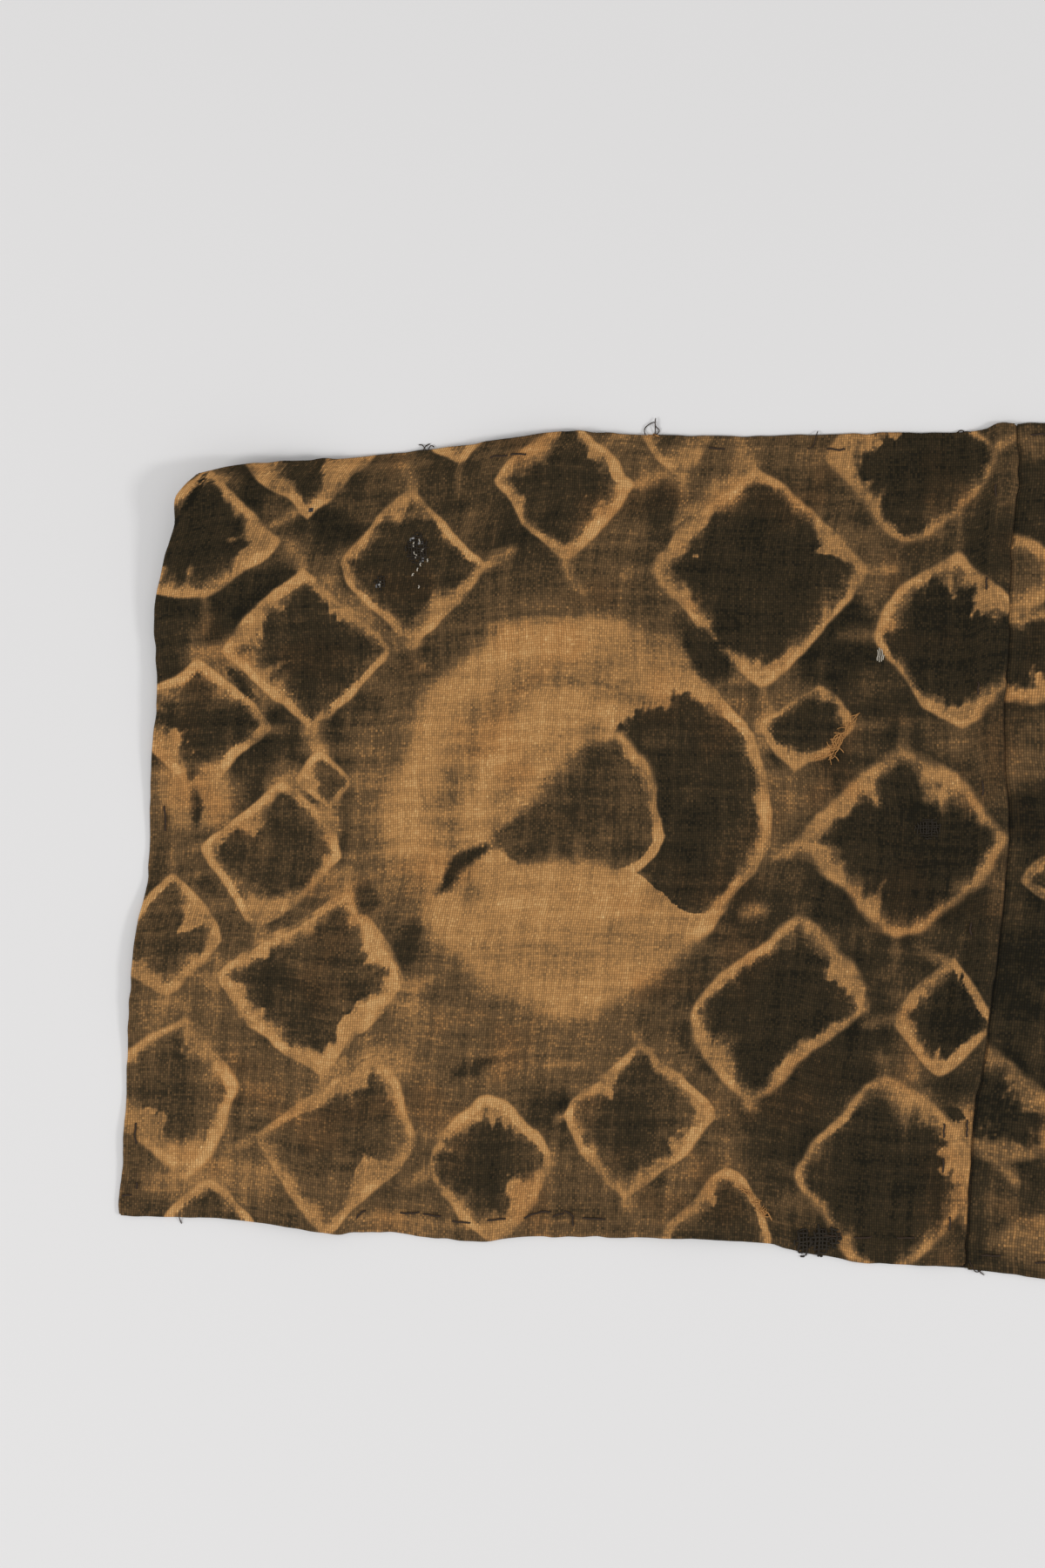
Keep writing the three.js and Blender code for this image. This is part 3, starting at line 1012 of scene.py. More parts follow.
class Wiring:
    """Adds and links the nodes of one material."""

    def __init__(self, name: str) -> None:
        """Starts a material with an empty node tree.

        Args:
            name: The material's name.
        """
        self.material = bpy.data.materials.new(name)
        self.material.use_nodes = True
        self.tree = self.material.node_tree
        self.tree.nodes.clear()

    def add(self, kind: str, **settings: object) -> bpy.types.Node:
        """Adds a node.

        Args:
            kind: Its type, without the leading ShaderNode.
            settings: Its properties.

        Returns:
            The node.
        """
        node = self.tree.nodes.new("ShaderNode" + kind)
        for key, value in settings.items():
            setattr(node, key, value)
        return node

    def feed(self, socket: bpy.types.NodeSocket, value: object) -> None:
        """Links a socket to another one, or sets it to a plain value.

        Args:
            socket: The input.
            value: An output socket or a plain value.
        """
        if isinstance(value, bpy.types.NodeSocket):
            self.tree.links.new(value, socket)
        else:
            socket.default_value = value

    def math(self, operation: str, *values: object, clamp: bool = False) -> bpy.types.NodeSocket:
        """Adds a sum.

        Args:
            operation: What is worked out.
            values: Sockets or numbers.
            clamp: Whether the result is kept from 0 to 1.

        Returns:
            The result's socket.
        """
        node = self.add("Math", operation=operation, use_clamp=clamp)
        for socket, value in zip(node.inputs, values):
            self.feed(socket, value)
        return node.outputs[0]

    def blend(self, share: object, first: object, second: object) -> bpy.types.NodeSocket:
        """Mixes two numbers.

        Args:
            share: How much of the second one, 0 to 1.
            first: The first number or socket.
            second: The second number or socket.

        Returns:
            The mixed number's socket.
        """
        node = self.add("Mix", data_type="FLOAT")
        for index, value in ((0, share), (2, first), (3, second)):
            self.feed(node.inputs[index], value)
        return node.outputs[0]

    def tint(self, kind: str, share: object, first: object, second: object) -> bpy.types.NodeSocket:
        """Mixes two colours.

        Args:
            kind: How they mix.
            share: How much of the second one, 0 to 1.
            first: The first colour or socket.
            second: The second colour or socket.

        Returns:
            The mixed colour's socket.
        """
        node = self.add("Mix", data_type="RGBA", blend_type=kind)
        for index, value in ((0, share), (6, first), (7, second)):
            self.feed(node.inputs[index], value)
        return node.outputs[2]

    def step(self, value: object, low: object, high: object) -> bpy.types.NodeSocket:
        """Rises smoothly from 0 at low to 1 at high.

        Args:
            value: The socket to map.
            low: Where the rise starts.
            high: Where the rise ends.

        Returns:
            The mapped socket.
        """
        node = self.add("MapRange", interpolation_type="SMOOTHSTEP")
        for index, part in enumerate((value, low, high)):
            self.feed(node.inputs[index], part)
        return node.outputs[0]

    def place(self, x: object, y: object) -> bpy.types.NodeSocket:
        """Joins two numbers into a place for a texture.

        Args:
            x: The first number or socket.
            y: The second number or socket.

        Returns:
            The place's socket.
        """
        node = self.add("CombineXYZ")
        self.feed(node.inputs[0], x)
        self.feed(node.inputs[1], y)
        return node.outputs[0]

    def noise(self, place: bpy.types.NodeSocket, detail: float = 0.0) -> bpy.types.NodeSocket:
        """Adds a flat noise with turns about one unit apart, centred on 0.

        Args:
            place: Where it is read.
            detail: How many finer layers it has.

        Returns:
            The noise's socket, about -0.5 to 0.5.
        """
        node = self.add("TexNoise", noise_dimensions="2D")
        self.feed(node.inputs["Vector"], place)
        node.inputs["Scale"].default_value = 1.0
        node.inputs["Detail"].default_value = detail
        return self.math("SUBTRACT", node.outputs[0], 0.5)

    def grain(self, scale: float) -> bpy.types.NodeSocket:
        """Adds a noise that keeps its place on the piece.

        Args:
            scale: How many turns it has in a metre.

        Returns:
            The noise's socket, 0 to 1.
        """
        node = self.add("TexNoise")
        self.feed(node.inputs["Vector"], self.add("TexCoord").outputs["Object"])
        node.inputs["Scale"].default_value = scale
        return node.outputs[0]

    def bump(self, height: bpy.types.NodeSocket, strength: float, depth: float) -> bpy.types.NodeSocket:
        """Adds a relief.

        Args:
            height: The relief's height, 0 to 1.
            strength: How much of it shows.
            depth: How high it is in millimetres.

        Returns:
            The socket for the shader's normal.
        """
        node = self.add("Bump")
        node.inputs["Strength"].default_value = strength
        node.inputs["Distance"].default_value = depth * MM
        self.feed(node.inputs["Height"], height)
        return node.outputs[0]

    def parts(self, attribute: str) -> tuple[bpy.types.NodeSocket, ...]:
        """Reads the three numbers of an attribute.

        Args:
            attribute: The attribute's name.

        Returns:
            Its three sockets.
        """
        split = self.add("SeparateXYZ")
        self.feed(split.inputs[0], self.add("Attribute", attribute_name=attribute).outputs["Vector"])
        return tuple(split.outputs)

    def finish(self, **sockets: object) -> bpy.types.Material:
        """Adds the surface shader and the output.

        Args:
            sockets: Values or sockets by the shader's input, with _ for a space.

        Returns:
            The material.
        """
        shader = self.add("BsdfPrincipled")
        for key, value in sockets.items():
            self.feed(shader.inputs[key.replace("_", " ")], value)
        self.feed(self.add("OutputMaterial").inputs["Surface"], shader.outputs[0])
        return self.material


@dataclass(frozen=True)
class Weave:
    """Sockets that say where on the weave a point is.

    Along and up are places on the cloth, and column and row count the threads. Thread is the run of dye in
    the thread on top, crossing is a random number of its own for each crossing, and grain is the same,
    centred on 0.
    """

    wiring: Wiring
    along: bpy.types.NodeSocket
    up: bpy.types.NodeSocket
    column: bpy.types.NodeSocket
    row: bpy.types.NodeSocket
    thread: bpy.types.NodeSocket
    crossing: bpy.types.NodeSocket
    grain: bpy.types.NodeSocket

    def noise(self, cell_along: float, cell_up: float, detail: float = 0.0) -> bpy.types.NodeSocket:
        """Adds a noise stretched over the cloth.

        Args:
            cell_along: Distance between its turns along the cloth.
            cell_up: Distance between its turns across the cloth.
            detail: How many finer layers it has.

        Returns:
            The noise's socket, about -0.5 to 0.5.
        """
        w = self.wiring
        place = w.place(w.math("DIVIDE", self.along, cell_along), w.math("DIVIDE", self.up, cell_up))
        return w.noise(place, detail)


@dataclass(frozen=True)
class RaffiaFinish:
    """Dyed plain weave of split raffia, with each thread's own run of dye.

    Warp and weft are the distances between threads. Feather is how far the dye's edge runs on along a
    thread, and licks are the longer runs over many threads. Pairs such as thread_tone are the change of tone
    in a half-dyed place and the least change anywhere. The tuck is where the panel goes under a lap, and a
    painted shadow of the lap's edge darkens the cloth along it.
    """

    name: str
    warp: float
    weft: float
    feather: float = 1.5
    bleed: float = 12.0
    apart: float = 7.31
    grain_jitter: float = 0.35
    lick: float = 0.75
    lick_cells: tuple[float, float] = (5.0, 7.0)
    blur_cell: float = 24.0
    blur_range: tuple[float, float] = (-0.12, 0.2)
    blur_by_soft: float = 1.4
    blur_by_place: float = 3.6
    blur_least: float = 0.8
    streak_cells: tuple[float, float] = (5.0, 70.0)
    streak_detail: float = 2.0
    cloud_cell: float = 40.0
    cloud_detail: float = 3.0
    mottle: float = 0.15
    streak_tone: float = 0.8
    thread_tone: tuple[float, float] = (0.7, 0.04)
    grain_tone: tuple[float, float] = (0.3, 0.04)
    fleck_from: float = 0.99
    fleck_tone: tuple[float, float] = (0.07, 0.02)
    rust: float = 0.35
    rust_range: tuple[float, float] = (0.02, 0.22)
    rust_tint: tuple[float, float, float, float] = (0.86, 0.70, 0.56, 1.0)
    knuckle: float = 0.6
    shade: tuple[float, float] = (0.74, 0.61)
    tuck: float = 0.0
    tuck_shade: float = 3.0
    tuck_core: float = 1.0
    # colour that the painted shadow along the lap's edge multiplies in
    lap_shadow_tint: tuple[float, float, float, float] = (0.35, 0.33, 0.30, 1.0)
    relief: float = 0.6
    bump: float = 0.55
    bump_depth: float = 0.35
    rough: float = 0.82
    rough_spread: float = 0.2
    gloss: float = 0.12
    sheen: float = 0.01
    sheen_rough: float = 0.5
    tones: tuple[tuple[float, tuple[float, float, float]], ...] = (
        (0.0, (25, 21, 10)),
        (0.05, (39, 32, 18)),
        (0.18, (55, 44, 27)),
        (0.42, (102, 78, 50)),
        (0.70, (174, 128, 77)),
        (0.88, (198, 156, 102)),
        (1.0, (216, 182, 130)),
    )

    def _weave(self, w: Wiring) -> Weave:
        """Finds the threads.

        Args:
            w: The material's wiring.

        Returns:
            The sockets of the weave.
        """
        along, up, _ = w.parts("weave_place")
        column, row = w.math("DIVIDE", along, self.warp), w.math("DIVIDE", up, self.weft)
        warp_id, weft_id = w.math("FLOOR", column), w.math("FLOOR", row)
        warp_place = w.place(w.math("MULTIPLY", warp_id, self.apart), w.math("DIVIDE", up, self.bleed))
        weft_place = w.place(w.math("DIVIDE", along, self.bleed), w.math("MULTIPLY", weft_id, self.apart))
        over = w.math("FLOORED_MODULO", w.math("ADD", warp_id, weft_id), 2.0)
        thread = w.blend(over, w.noise(weft_place, 1.0), w.noise(warp_place, 1.0))
        cell = w.add("TexWhiteNoise", noise_dimensions="2D")
        w.feed(cell.inputs["Vector"], w.place(warp_id, weft_id))
        crossing = cell.outputs["Value"]
        return Weave(w, along, up, column, row, thread, crossing, w.math("SUBTRACT", crossing, 0.5))

    def _dyed(self, w: Wiring, weave: Weave) -> bpy.types.NodeSocket:
        """Draws the rings, their eyes and the blots with edges that run along the threads.

        Args:
            w: The material's wiring.
            weave: The sockets of the weave.

        Returns:
            The tone of the dye, with the painted shadows among the blots.
        """
        grain = w.math("MULTIPLY", weave.grain, self.grain_jitter)
        jitter = w.math("MULTIPLY_ADD", weave.thread, self.feather, grain)
        licks = w.math(
            "ADD",
            weave.noise(self.lick_cells[0], self.bleed, 1.0),
            weave.noise(self.bleed, self.lick_cells[1], 1.0),
        )
        blurred = w.step(weave.noise(self.blur_cell, self.blur_cell), *self.blur_range)
        blur = w.math("MULTIPLY_ADD", blurred, self.blur_by_place, self.blur_least)
        tone = None
        for kind in ("ring", "eye"):
            gap, width, out = w.parts(kind + "_shape")
            soft, fill, band = w.parts(kind + "_tones")
            line, pale, ground = w.parts(kind + "_lines")
            gap = w.math("ADD", gap, jitter)
            hard = w.math("MULTIPLY", soft, -1.0)
            outer = w.step(w.math("SUBTRACT", out, gap), hard, soft)
            on_line = w.step(w.math("ADD", gap, line), hard, soft)
            wide = w.math("MULTIPLY_ADD", soft, self.blur_by_soft, blur)
            narrow = w.math("MULTIPLY", wide, -1.0)
            licked = w.math("MULTIPLY_ADD", w.math("MULTIPLY", licks, width), self.lick, width)
            on_pale = w.step(w.math("ADD", gap, licked), narrow, wide)
            inside = w.blend(on_line, w.blend(on_pale, fill, pale), band)
            tone = w.blend(outer, ground if tone is None else tone, inside)
        blot, blot_soft, blot_tone = w.parts("blots")
        spot = w.step(w.math("ADD", blot, jitter), blot_soft, w.math("MULTIPLY", blot_soft, -1.0))
        return w.blend(spot, tone, blot_tone)

    def _mottled(
        self, w: Wiring, weave: Weave, cloudy: bpy.types.NodeSocket, tone: bpy.types.NodeSocket
    ) -> bpy.types.NodeSocket:
        """Makes the tone uneven: streaks, each thread's own run, grain and a few pale flecks.

        Args:
            w: The material's wiring.
            weave: The sockets of the weave.
            cloudy: The broad clouds.
            tone: The dye's tone.

        Returns:
            The uneven tone.
        """
        fine, long = self.streak_cells
        both = w.math(
            "ADD", weave.noise(fine, long, self.streak_detail), weave.noise(long, fine, self.streak_detail)
        )
        streak = w.math("ADD", both, cloudy)
        room = w.math("MULTIPLY", w.math("SUBTRACT", 1.0, tone), w.math("ADD", tone, self.mottle))
        tone = w.math("MULTIPLY_ADD", streak, w.math("MULTIPLY", room, self.streak_tone), tone)
        for change, amount in ((weave.thread, self.thread_tone), (weave.grain, self.grain_tone)):
            tone = w.math("MULTIPLY_ADD", change, w.math("MULTIPLY_ADD", room, *amount), tone)
        fleck = w.math("GREATER_THAN", weave.crossing, self.fleck_from)
        return w.math("MULTIPLY_ADD", fleck, w.math("MULTIPLY_ADD", tone, *self.fleck_tone), tone)

    def _coloured(
        self, w: Wiring, cloudy: bpy.types.NodeSocket, tone: bpy.types.NodeSocket
    ) -> bpy.types.NodeSocket:
        """Turns the tone to colour, rustier in places.

        Args:
            w: The material's wiring.
            cloudy: The broad clouds.
            tone: The dye's tone.

        Returns:
            The colour.
        """
        ramp = w.add("ValToRGB")
        stops = ramp.color_ramp.elements
        while len(stops) < len(self.tones):
            stops.new(0.5)
        for stop, (at, colour) in zip(stops, self.tones):
            stop.position = at
            stop.color = linear(*colour)
        w.feed(ramp.inputs[0], tone)
        rust = w.math("MULTIPLY", w.step(cloudy, *self.rust_range), self.rust)
        return w.tint("MULTIPLY", rust, ramp.outputs[0], self.rust_tint)

    def material(self) -> bpy.types.Material:
        """Wires the finish.

        Returns:
            The material, which reads the attributes of a sheet.
        """
        w = Wiring(self.name)
        weave = self._weave(w)
        cloudy = weave.noise(self.cloud_cell, self.cloud_cell, self.cloud_detail)
        colour = self._coloured(w, cloudy, self._mottled(w, weave, cloudy, self._dyed(w, weave)))
        rib = w.math("SINE", w.math("MULTIPLY", w.math("FRACT", weave.column), math.pi))
        knuckle = w.math("SINE", w.math("MULTIPLY", w.math("FRACT", weave.row), math.pi))
        hump = w.math("MULTIPLY", rib, w.math("MULTIPLY_ADD", knuckle, self.knuckle, 1 - self.knuckle))
        depth = w.add("CombineColor")
        shade = w.math("MULTIPLY_ADD", hump, *self.shade)
        for socket in depth.inputs:
            w.feed(socket, shade)
        colour = w.tint("MULTIPLY", 1.0, colour, depth.outputs[0])
        # painted shadow of the lap's edge: a dark band on this panel along the line where it goes under its
        # neighbour
        if self.tuck:
            before = w.step(weave.along, self.tuck - self.tuck_shade, self.tuck - self.tuck_core)
            after = w.step(weave.along, self.tuck + self.tuck_shade, self.tuck)
            colour = w.tint("MULTIPLY", w.math("MULTIPLY", before, after), colour, self.lap_shadow_tint)
        relief = w.math("MULTIPLY_ADD", weave.thread, self.relief, hump)
        return w.finish(
            Base_Color=colour,
            Roughness=w.math("MULTIPLY_ADD", weave.thread, self.rough_spread, self.rough, clamp=True),
            Normal=w.bump(relief, self.bump, self.bump_depth),
            Specular_IOR_Level=self.gloss,
            Sheen_Weight=self.sheen,
            Sheen_Roughness=self.sheen_rough,
        )


@dataclass(frozen=True)
class ThreadFinish:
    """Twisted thread: a base colour with darker and lighter strands."""

    name: str
    colour: tuple[float, float, float]
    strand: float = 0.35
    dark: float = 0.6
    light: float = 1.35
    bump: float = 0.5
    bump_depth: float = 0.15
    rough: float = 0.8
    gloss: float = 0.25

    def material(self) -> bpy.types.Material:
        """Wires the finish.

        Returns:
            The material, which reads Object coordinates.
        """
        w = Wiring(self.name)
        strands = w.grain(1 / (self.strand * MM))
        dark = linear(*(self.dark * part for part in self.colour))
        light = linear(*(min(FULL, self.light * part) for part in self.colour))
        return w.finish(
            Base_Color=w.tint("MIX", strands, dark, light),
            Roughness=self.rough,
            Normal=w.bump(strands, self.bump, self.bump_depth),
            Specular_IOR_Level=self.gloss,
        )


@dataclass(frozen=True)
class FloorFinish:
    """Pale painted board."""

    name: str = "pale_floor"
    colour: tuple[float, float, float] = (226, 225, 225)
    fade: float = 2.0
    scale: float = 1.4
    rough: float = 0.9
    gloss: float = 0.1

    def material(self) -> bpy.types.Material:
        """Wires the finish.

        Returns:
            The material, which reads Object coordinates.
        """
        w = Wiring(self.name)
        faded = linear(*(part - self.fade for part in self.colour))
        colour = w.tint("MIX", w.grain(self.scale), faded, linear(*self.colour))
        return w.finish(Base_Color=colour, Roughness=self.rough, Specular_IOR_Level=self.gloss)


# The panels

# How far the right panel reaches under the left one
LAP = 14.0


@dataclass(frozen=True)
class Hole:
    """A worn hole in the weave."""

    x: float
    y: float
    half_x: float
    half_y: float


@dataclass(frozen=True)
class Lines:
    """The grid lines across one side of a sheet, from one raw edge over the folds to the other.

    Place is from the side's start, lift is the share of a fold's height, depth is how far inside the fold a
    folded line lies, and role is -1 in the hem at the start, 0 on top and 1 in the hem at the end.
    """

    place: np.ndarray
    lift: np.ndarray
    depth: np.ndarray
    role: np.ndarray


@dataclass
class Panel:
    """One woven panel: its outline, its folded hems and its dye, built as a thin closed sheet.

    Strays are how far each edge goes outwards from the straight line between its corners, at shares of the
    way along it. Step is the distance between grid lines, and fold is half the height of a fold.
    """

    name: str
    node: str
    corners: dict[str, tuple[float, float]]
    strays: dict[Side, tuple[tuple[float, float], ...]]
    hems: dict[Side, float]
    dye: DyePattern
    finish: RaffiaFinish
    lie: Lie
    step: float
    laps_over: bool = False
    tucks_under: bool = False
    holes: tuple[Hole, ...] = ()
    thick: float = 0.8
    fold: float = 0.5
    fold_turns: tuple[float, ...] = (-54.0, -18.0, 18.0, 54.0)
    mitre: float = 1.15
    lap: float = LAP
    lap_slope: float = 16.0
    lap_rise: float = 1.05
    hem_slope: float = 3.0
    clear: float = 0.03
    ragged: tuple[Cloud, Cloud] = (Cloud(0.55, 7.0, 61), Cloud(0.55, 7.0, 62))
    hole_edge: Cloud = Cloud(0.35, 2.5, 77)
    edge_fineness: int = 60
    sharp_from: float = 50.0
    sheet: bpy.types.Object | None = None
    width: float = 0.0
    height: float = 0.0
    curves: dict[Side, tuple[np.ndarray, np.ndarray]] = field(default_factory=dict)

    def __post_init__(self) -> None:
        """Lays out the four edges and measures the panel."""
        ends = {
            Side.NORTH: ("north_west", "north_east", (0, 1)),
            Side.SOUTH: ("south_west", "south_east", (0, -1)),
            Side.WEST: ("south_west", "north_west", (-1, 0)),
            Side.EAST: ("south_east", "north_east", (1, 0)),
        }
        for side, (start, end, outward) in ends.items():
            first, last = np.array(self.corners[start]), np.array(self.corners[end])
            between = [first + (last - first) * at + np.array(outward) * out for at, out in self.strays[side]]
            path = curve_through(np.array([first, *between, last]), self.edge_fineness)
            steps = np.linalg.norm(np.diff(path, axis=0), axis=1)
            self.curves[side] = (np.concatenate([[0], np.cumsum(steps)]), path)
        length = {side: curve[0][-1] for side, curve in self.curves.items()}
        self.width = (length[Side.NORTH] + length[Side.SOUTH]) / 2
        self.height = (length[Side.WEST] + length[Side.EAST]) / 2

    def _edge(self, side: Side, share: np.ndarray) -> np.ndarray:
        """Finds places on an edge.

        Args:
            side: Which edge.
            share: Shares of the way along it.

        Returns:
            The places, with x and y in the last column.
        """
        along, path = self.curves[side]
        return np.stack([np.interp(share * along[-1], along, path[:, axis]) for axis in (0, 1)], axis=-1)

    def place(self, u: np.ndarray, v: np.ndarray) -> np.ndarray:
        """Places on the panel, blended between its four edges.

        Args:
            u: Shares of the way from west to east.
            v: Shares of the way from south to north.

        Returns:
            The places, with x and y in the last column.
        """
        corner = {key: np.array(value) for key, value in self.corners.items()}
        u3, v3 = u[..., None], v[..., None]
        south_north = self._edge(Side.SOUTH, u) * (1 - v3) + self._edge(Side.NORTH, u) * v3
        west_east = self._edge(Side.WEST, v) * (1 - u3) + self._edge(Side.EAST, v) * u3
        low = corner["south_west"] * (1 - u3) + corner["south_east"] * u3
        high = corner["north_west"] * (1 - u3) + corner["north_east"] * u3
        return south_north + west_east - (low * (1 - v3) + high * v3)

    def _lines(self, length: float, start: float, end: float) -> Lines:
        """Spaces the grid lines across one side of the sheet.

        Args:
            length: The side's length.
            start: Width of the hem at its start, or 0 for a single edge.
            end: Width of the hem at its end, or 0 for a single edge.

        Returns:
            The lines.
        """
        first, last = self._hem_lines(start), self._hem_lines(end)
        low, high = (self.fold if width else 0 for width in (start, end))
        top = np.linspace(low, length - high, round(length / self.step) + 1)
        on_top = np.zeros_like(top)
        return Lines(
            place=np.concatenate([first.place, top, length - last.place[::-1]]),
            lift=np.concatenate([first.lift, np.ones_like(top), last.lift[::-1]]),
            depth=np.concatenate([first.depth, on_top, last.depth[::-1]]),
            role=np.concatenate([-first.role, on_top, last.role]),
        )

    def _hem_lines(self, width: float) -> Lines:
        """Spaces the grid lines of one hem.

        Args:
            width: The hem's width, or 0 for a single edge.

        Returns:
            The lines from its raw edge to its fold.
        """
        if not width:
            return Lines(np.empty(0), np.empty(0), np.empty(0), np.empty(0))
        turns = np.radians(self.fold_turns)
        under = np.linspace(width, self.fold, max(3, round(width / self.step) + 1))
        return Lines(
            place=np.concatenate([under, self.fold * (1 - np.cos(turns))]),
            lift=np.concatenate([np.zeros_like(under), 0.5 + 0.5 * np.sin(turns)]),
            depth=np.concatenate([under - self.fold, np.zeros_like(turns)]),
            role=np.ones(len(under) + len(turns)),
        )

    def _hem_share(self, distance: np.ndarray, side: Side) -> np.ndarray:
        """How much of a folded layer lies under places.

        Args:
            distance: Their distances from an edge.
            side: Which edge.

        Returns:
            Values from 0 past the hem to 1 in it.
        """
        hem = self.hems[side]
        return 1 - smoothstep(distance, hem, hem + self.hem_slope) if hem else 0 * distance

    def build(self) -> bpy.types.Object:
        """Makes the sheet, with its dye fields and its thickness.

        Returns:
            The sheet's object.
        """
        columns = self._lines(self.width, self.hems[Side.WEST], self.hems[Side.EAST])
        rows = self._lines(self.height, self.hems[Side.SOUTH], self.hems[Side.NORTH])
        across, up = np.meshgrid(columns.place, rows.place)
        column_hem = (columns.role != 0)[None, :] & np.ones_like(across, bool)
        row_hem = (rows.role != 0)[:, None] & np.ones_like(across, bool)

        pull = np.where(row_hem, self.mitre * rows.depth[:, None], 0)
        across_in = pull + across * (self.width - 2 * pull) / self.width
        pull = np.where(column_hem, self.mitre * columns.depth[None, :], 0)
        up_in = pull + up * (self.height - 2 * pull) / self.height
        spot = self.place(across_in / self.width, up_in / self.height)
        x, y = (spot[..., axis] + self.ragged[axis].at(spot[..., 0], spot[..., 1]) for axis in (0, 1))

        tucked = 0 * across
        if self.tucks_under:
            tucked = 1 - smoothstep(across, self.lap, self.lap + self.hem_slope)
        sides = np.maximum(
            self._hem_share(up, Side.SOUTH), self._hem_share(self.height - up, Side.NORTH)
        ) * (1 - tucked)
        ends = np.maximum(
            self._hem_share(across, Side.WEST), self._hem_share(self.width - across, Side.EAST)
        )
        layer = np.maximum(sides, ends)
        layer = np.where(column_hem, columns.lift[None, :] * ends, layer)
        layer = np.where(row_hem & ~column_hem, rows.lift[:, None] * sides, layer)
        raised = 0 * across
        if self.laps_over:
            lap_end = self.lap + self.hem_slope
            raised = self.lap_rise * (1 - smoothstep(self.width - across, lap_end, lap_end + self.lap_slope))
        z = self.lie.height(x, y) + self.thick / 2 + self.clear + raised + 2 * self.fold * layer

        end_cells = (columns.role[:-1] + columns.role[1:] != 0)[None, :]
        side_cells = (rows.role[:-1] + rows.role[1:] != 0)[:, None]
        keep = ~(end_cells & side_cells) & ~((tucked[:-1, :-1] > 0.5) & side_cells)
        top_cells = ~(column_hem | row_hem)[:-1, :-1]
        keep &= ~(top_cells & self._worn((spot[:-1, :-1] + spot[1:, 1:]) / 2))

        number = np.arange(x.size).reshape(x.shape)
        faces = np.stack([number[:-1, :-1], number[:-1, 1:], number[1:, 1:], number[1:, :-1]], axis=-1)[keep]
        used, faces = np.unique(faces, return_inverse=True)
        faces = faces.reshape(-1, 4)
        points = np.stack([x, y, z], axis=-1).reshape(-1, 3)[used]
        self.sheet = new_piece(self.name, points, faces.tolist())
        fields = self.dye.fields(x, y)
        fields["weave_place"] = np.stack([across, up, 0 * across], axis=-1)
        for key, values in fields.items():
            stored = self.sheet.data.attributes.new(key, "FLOAT_VECTOR", "POINT")
            stored.data.foreach_set("vector", values.reshape(-1, 3)[used].astype(np.float32).ravel())
        self._thicken()
        self.sheet.data.materials.append(self.finish.material())
        return self.sheet

    def _worn(self, middle: np.ndarray) -> np.ndarray:
        """Finds the cells of the grid that are worn through.

        Args:
            middle: Middles of the cells, with x and y in the last column.

        Returns:
            True for each cell that is in a hole. Each hole has at least one.
        """
        x, y = middle[..., 0], middle[..., 1]
        worn = np.zeros(x.shape, bool)
        edge = 1 + self.hole_edge.at(x, y)
        for hole in self.holes:
            away = np.hypot((x - hole.x) / hole.half_x, (y - hole.y) / hole.half_y)
            worn |= away < np.maximum(edge, np.min(away) + HAIR)
        return worn

    def _thicken(self) -> None:
        """Gives the sheet, which is selected, its thickness and smooth shading."""
        solid = self.sheet.modifiers.new("thickness", "SOLIDIFY")
        solid.thickness = self.thick * MM
        solid.offset = 0.0
        solid.use_even_offset = True
        bpy.ops.object.modifier_apply(modifier=solid.name)
        bpy.ops.object.shade_smooth_by_angle(angle=math.radians(self.sharp_from))

    def declare(self, pieces: list[bpy.types.Object]) -> None:
        """Attaches the sheet to the root body and hides the imported part that it stands for.

        Args:
            pieces: The separate pieces that are on this sheet. Not used.
        """
        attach(self.sheet, "root")
        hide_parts(self.node)


# Shares of the way along an edge, and how far it strays outwards there
SEAM_STRAYS = (
    (0.06, -0.6), (0.18, 0.0), (0.26, 3.8), (0.38, 6.8), (0.52, 8.8),
    (0.63, 3.2), (0.75, 2.8), (0.85, 1.1), (0.94, 2.8),
)
LEFT_STRAYS = {
    Side.NORTH: (
        (0.06, 3.6), (0.18, 5.0), (0.35, 8.0), (0.44, 11.4), (0.5, 8.8),
        (0.66, 3.1), (0.88, -1.0), (0.95, -2.6), (0.98, 1.1),
    ),
    Side.SOUTH: (
        (0.15, -1.4), (0.25, 2.7), (0.31, 0.1), (0.42, 2.6),
        (0.5, -2.0), (0.73, -6.2), (0.82, -1.3), (0.9, 1.7),
    ),
    Side.WEST: (
        (0.11, 1.8), (0.36, 7.4), (0.46, 4.5), (0.62, 9.1), (0.71, 9.4),
        (0.81, 15.3), (0.88, 13.4), (0.93, 9.2), (0.97, 9.4),
    ),
    Side.EAST: SEAM_STRAYS,
}
RIGHT_STRAYS = {
    Side.NORTH: ((0.035, 2.8), (0.08, 3.7), (0.24, 3.0), (0.42, 6.4), (0.68, 3.1), (0.86, 5.7)),
    Side.SOUTH: ((0.06, 2.2), (0.13, 6.4), (0.24, 7.5), (0.45, 4.6), (0.63, 7.2), (0.85, 2.4)),
    Side.WEST: tuple((at, -out) for at, out in SEAM_STRAYS),
    Side.EAST: ((0.14, 2.6), (0.33, -1.4), (0.56, 3.2), (0.78, -0.6), (0.9, 1.8)),
}


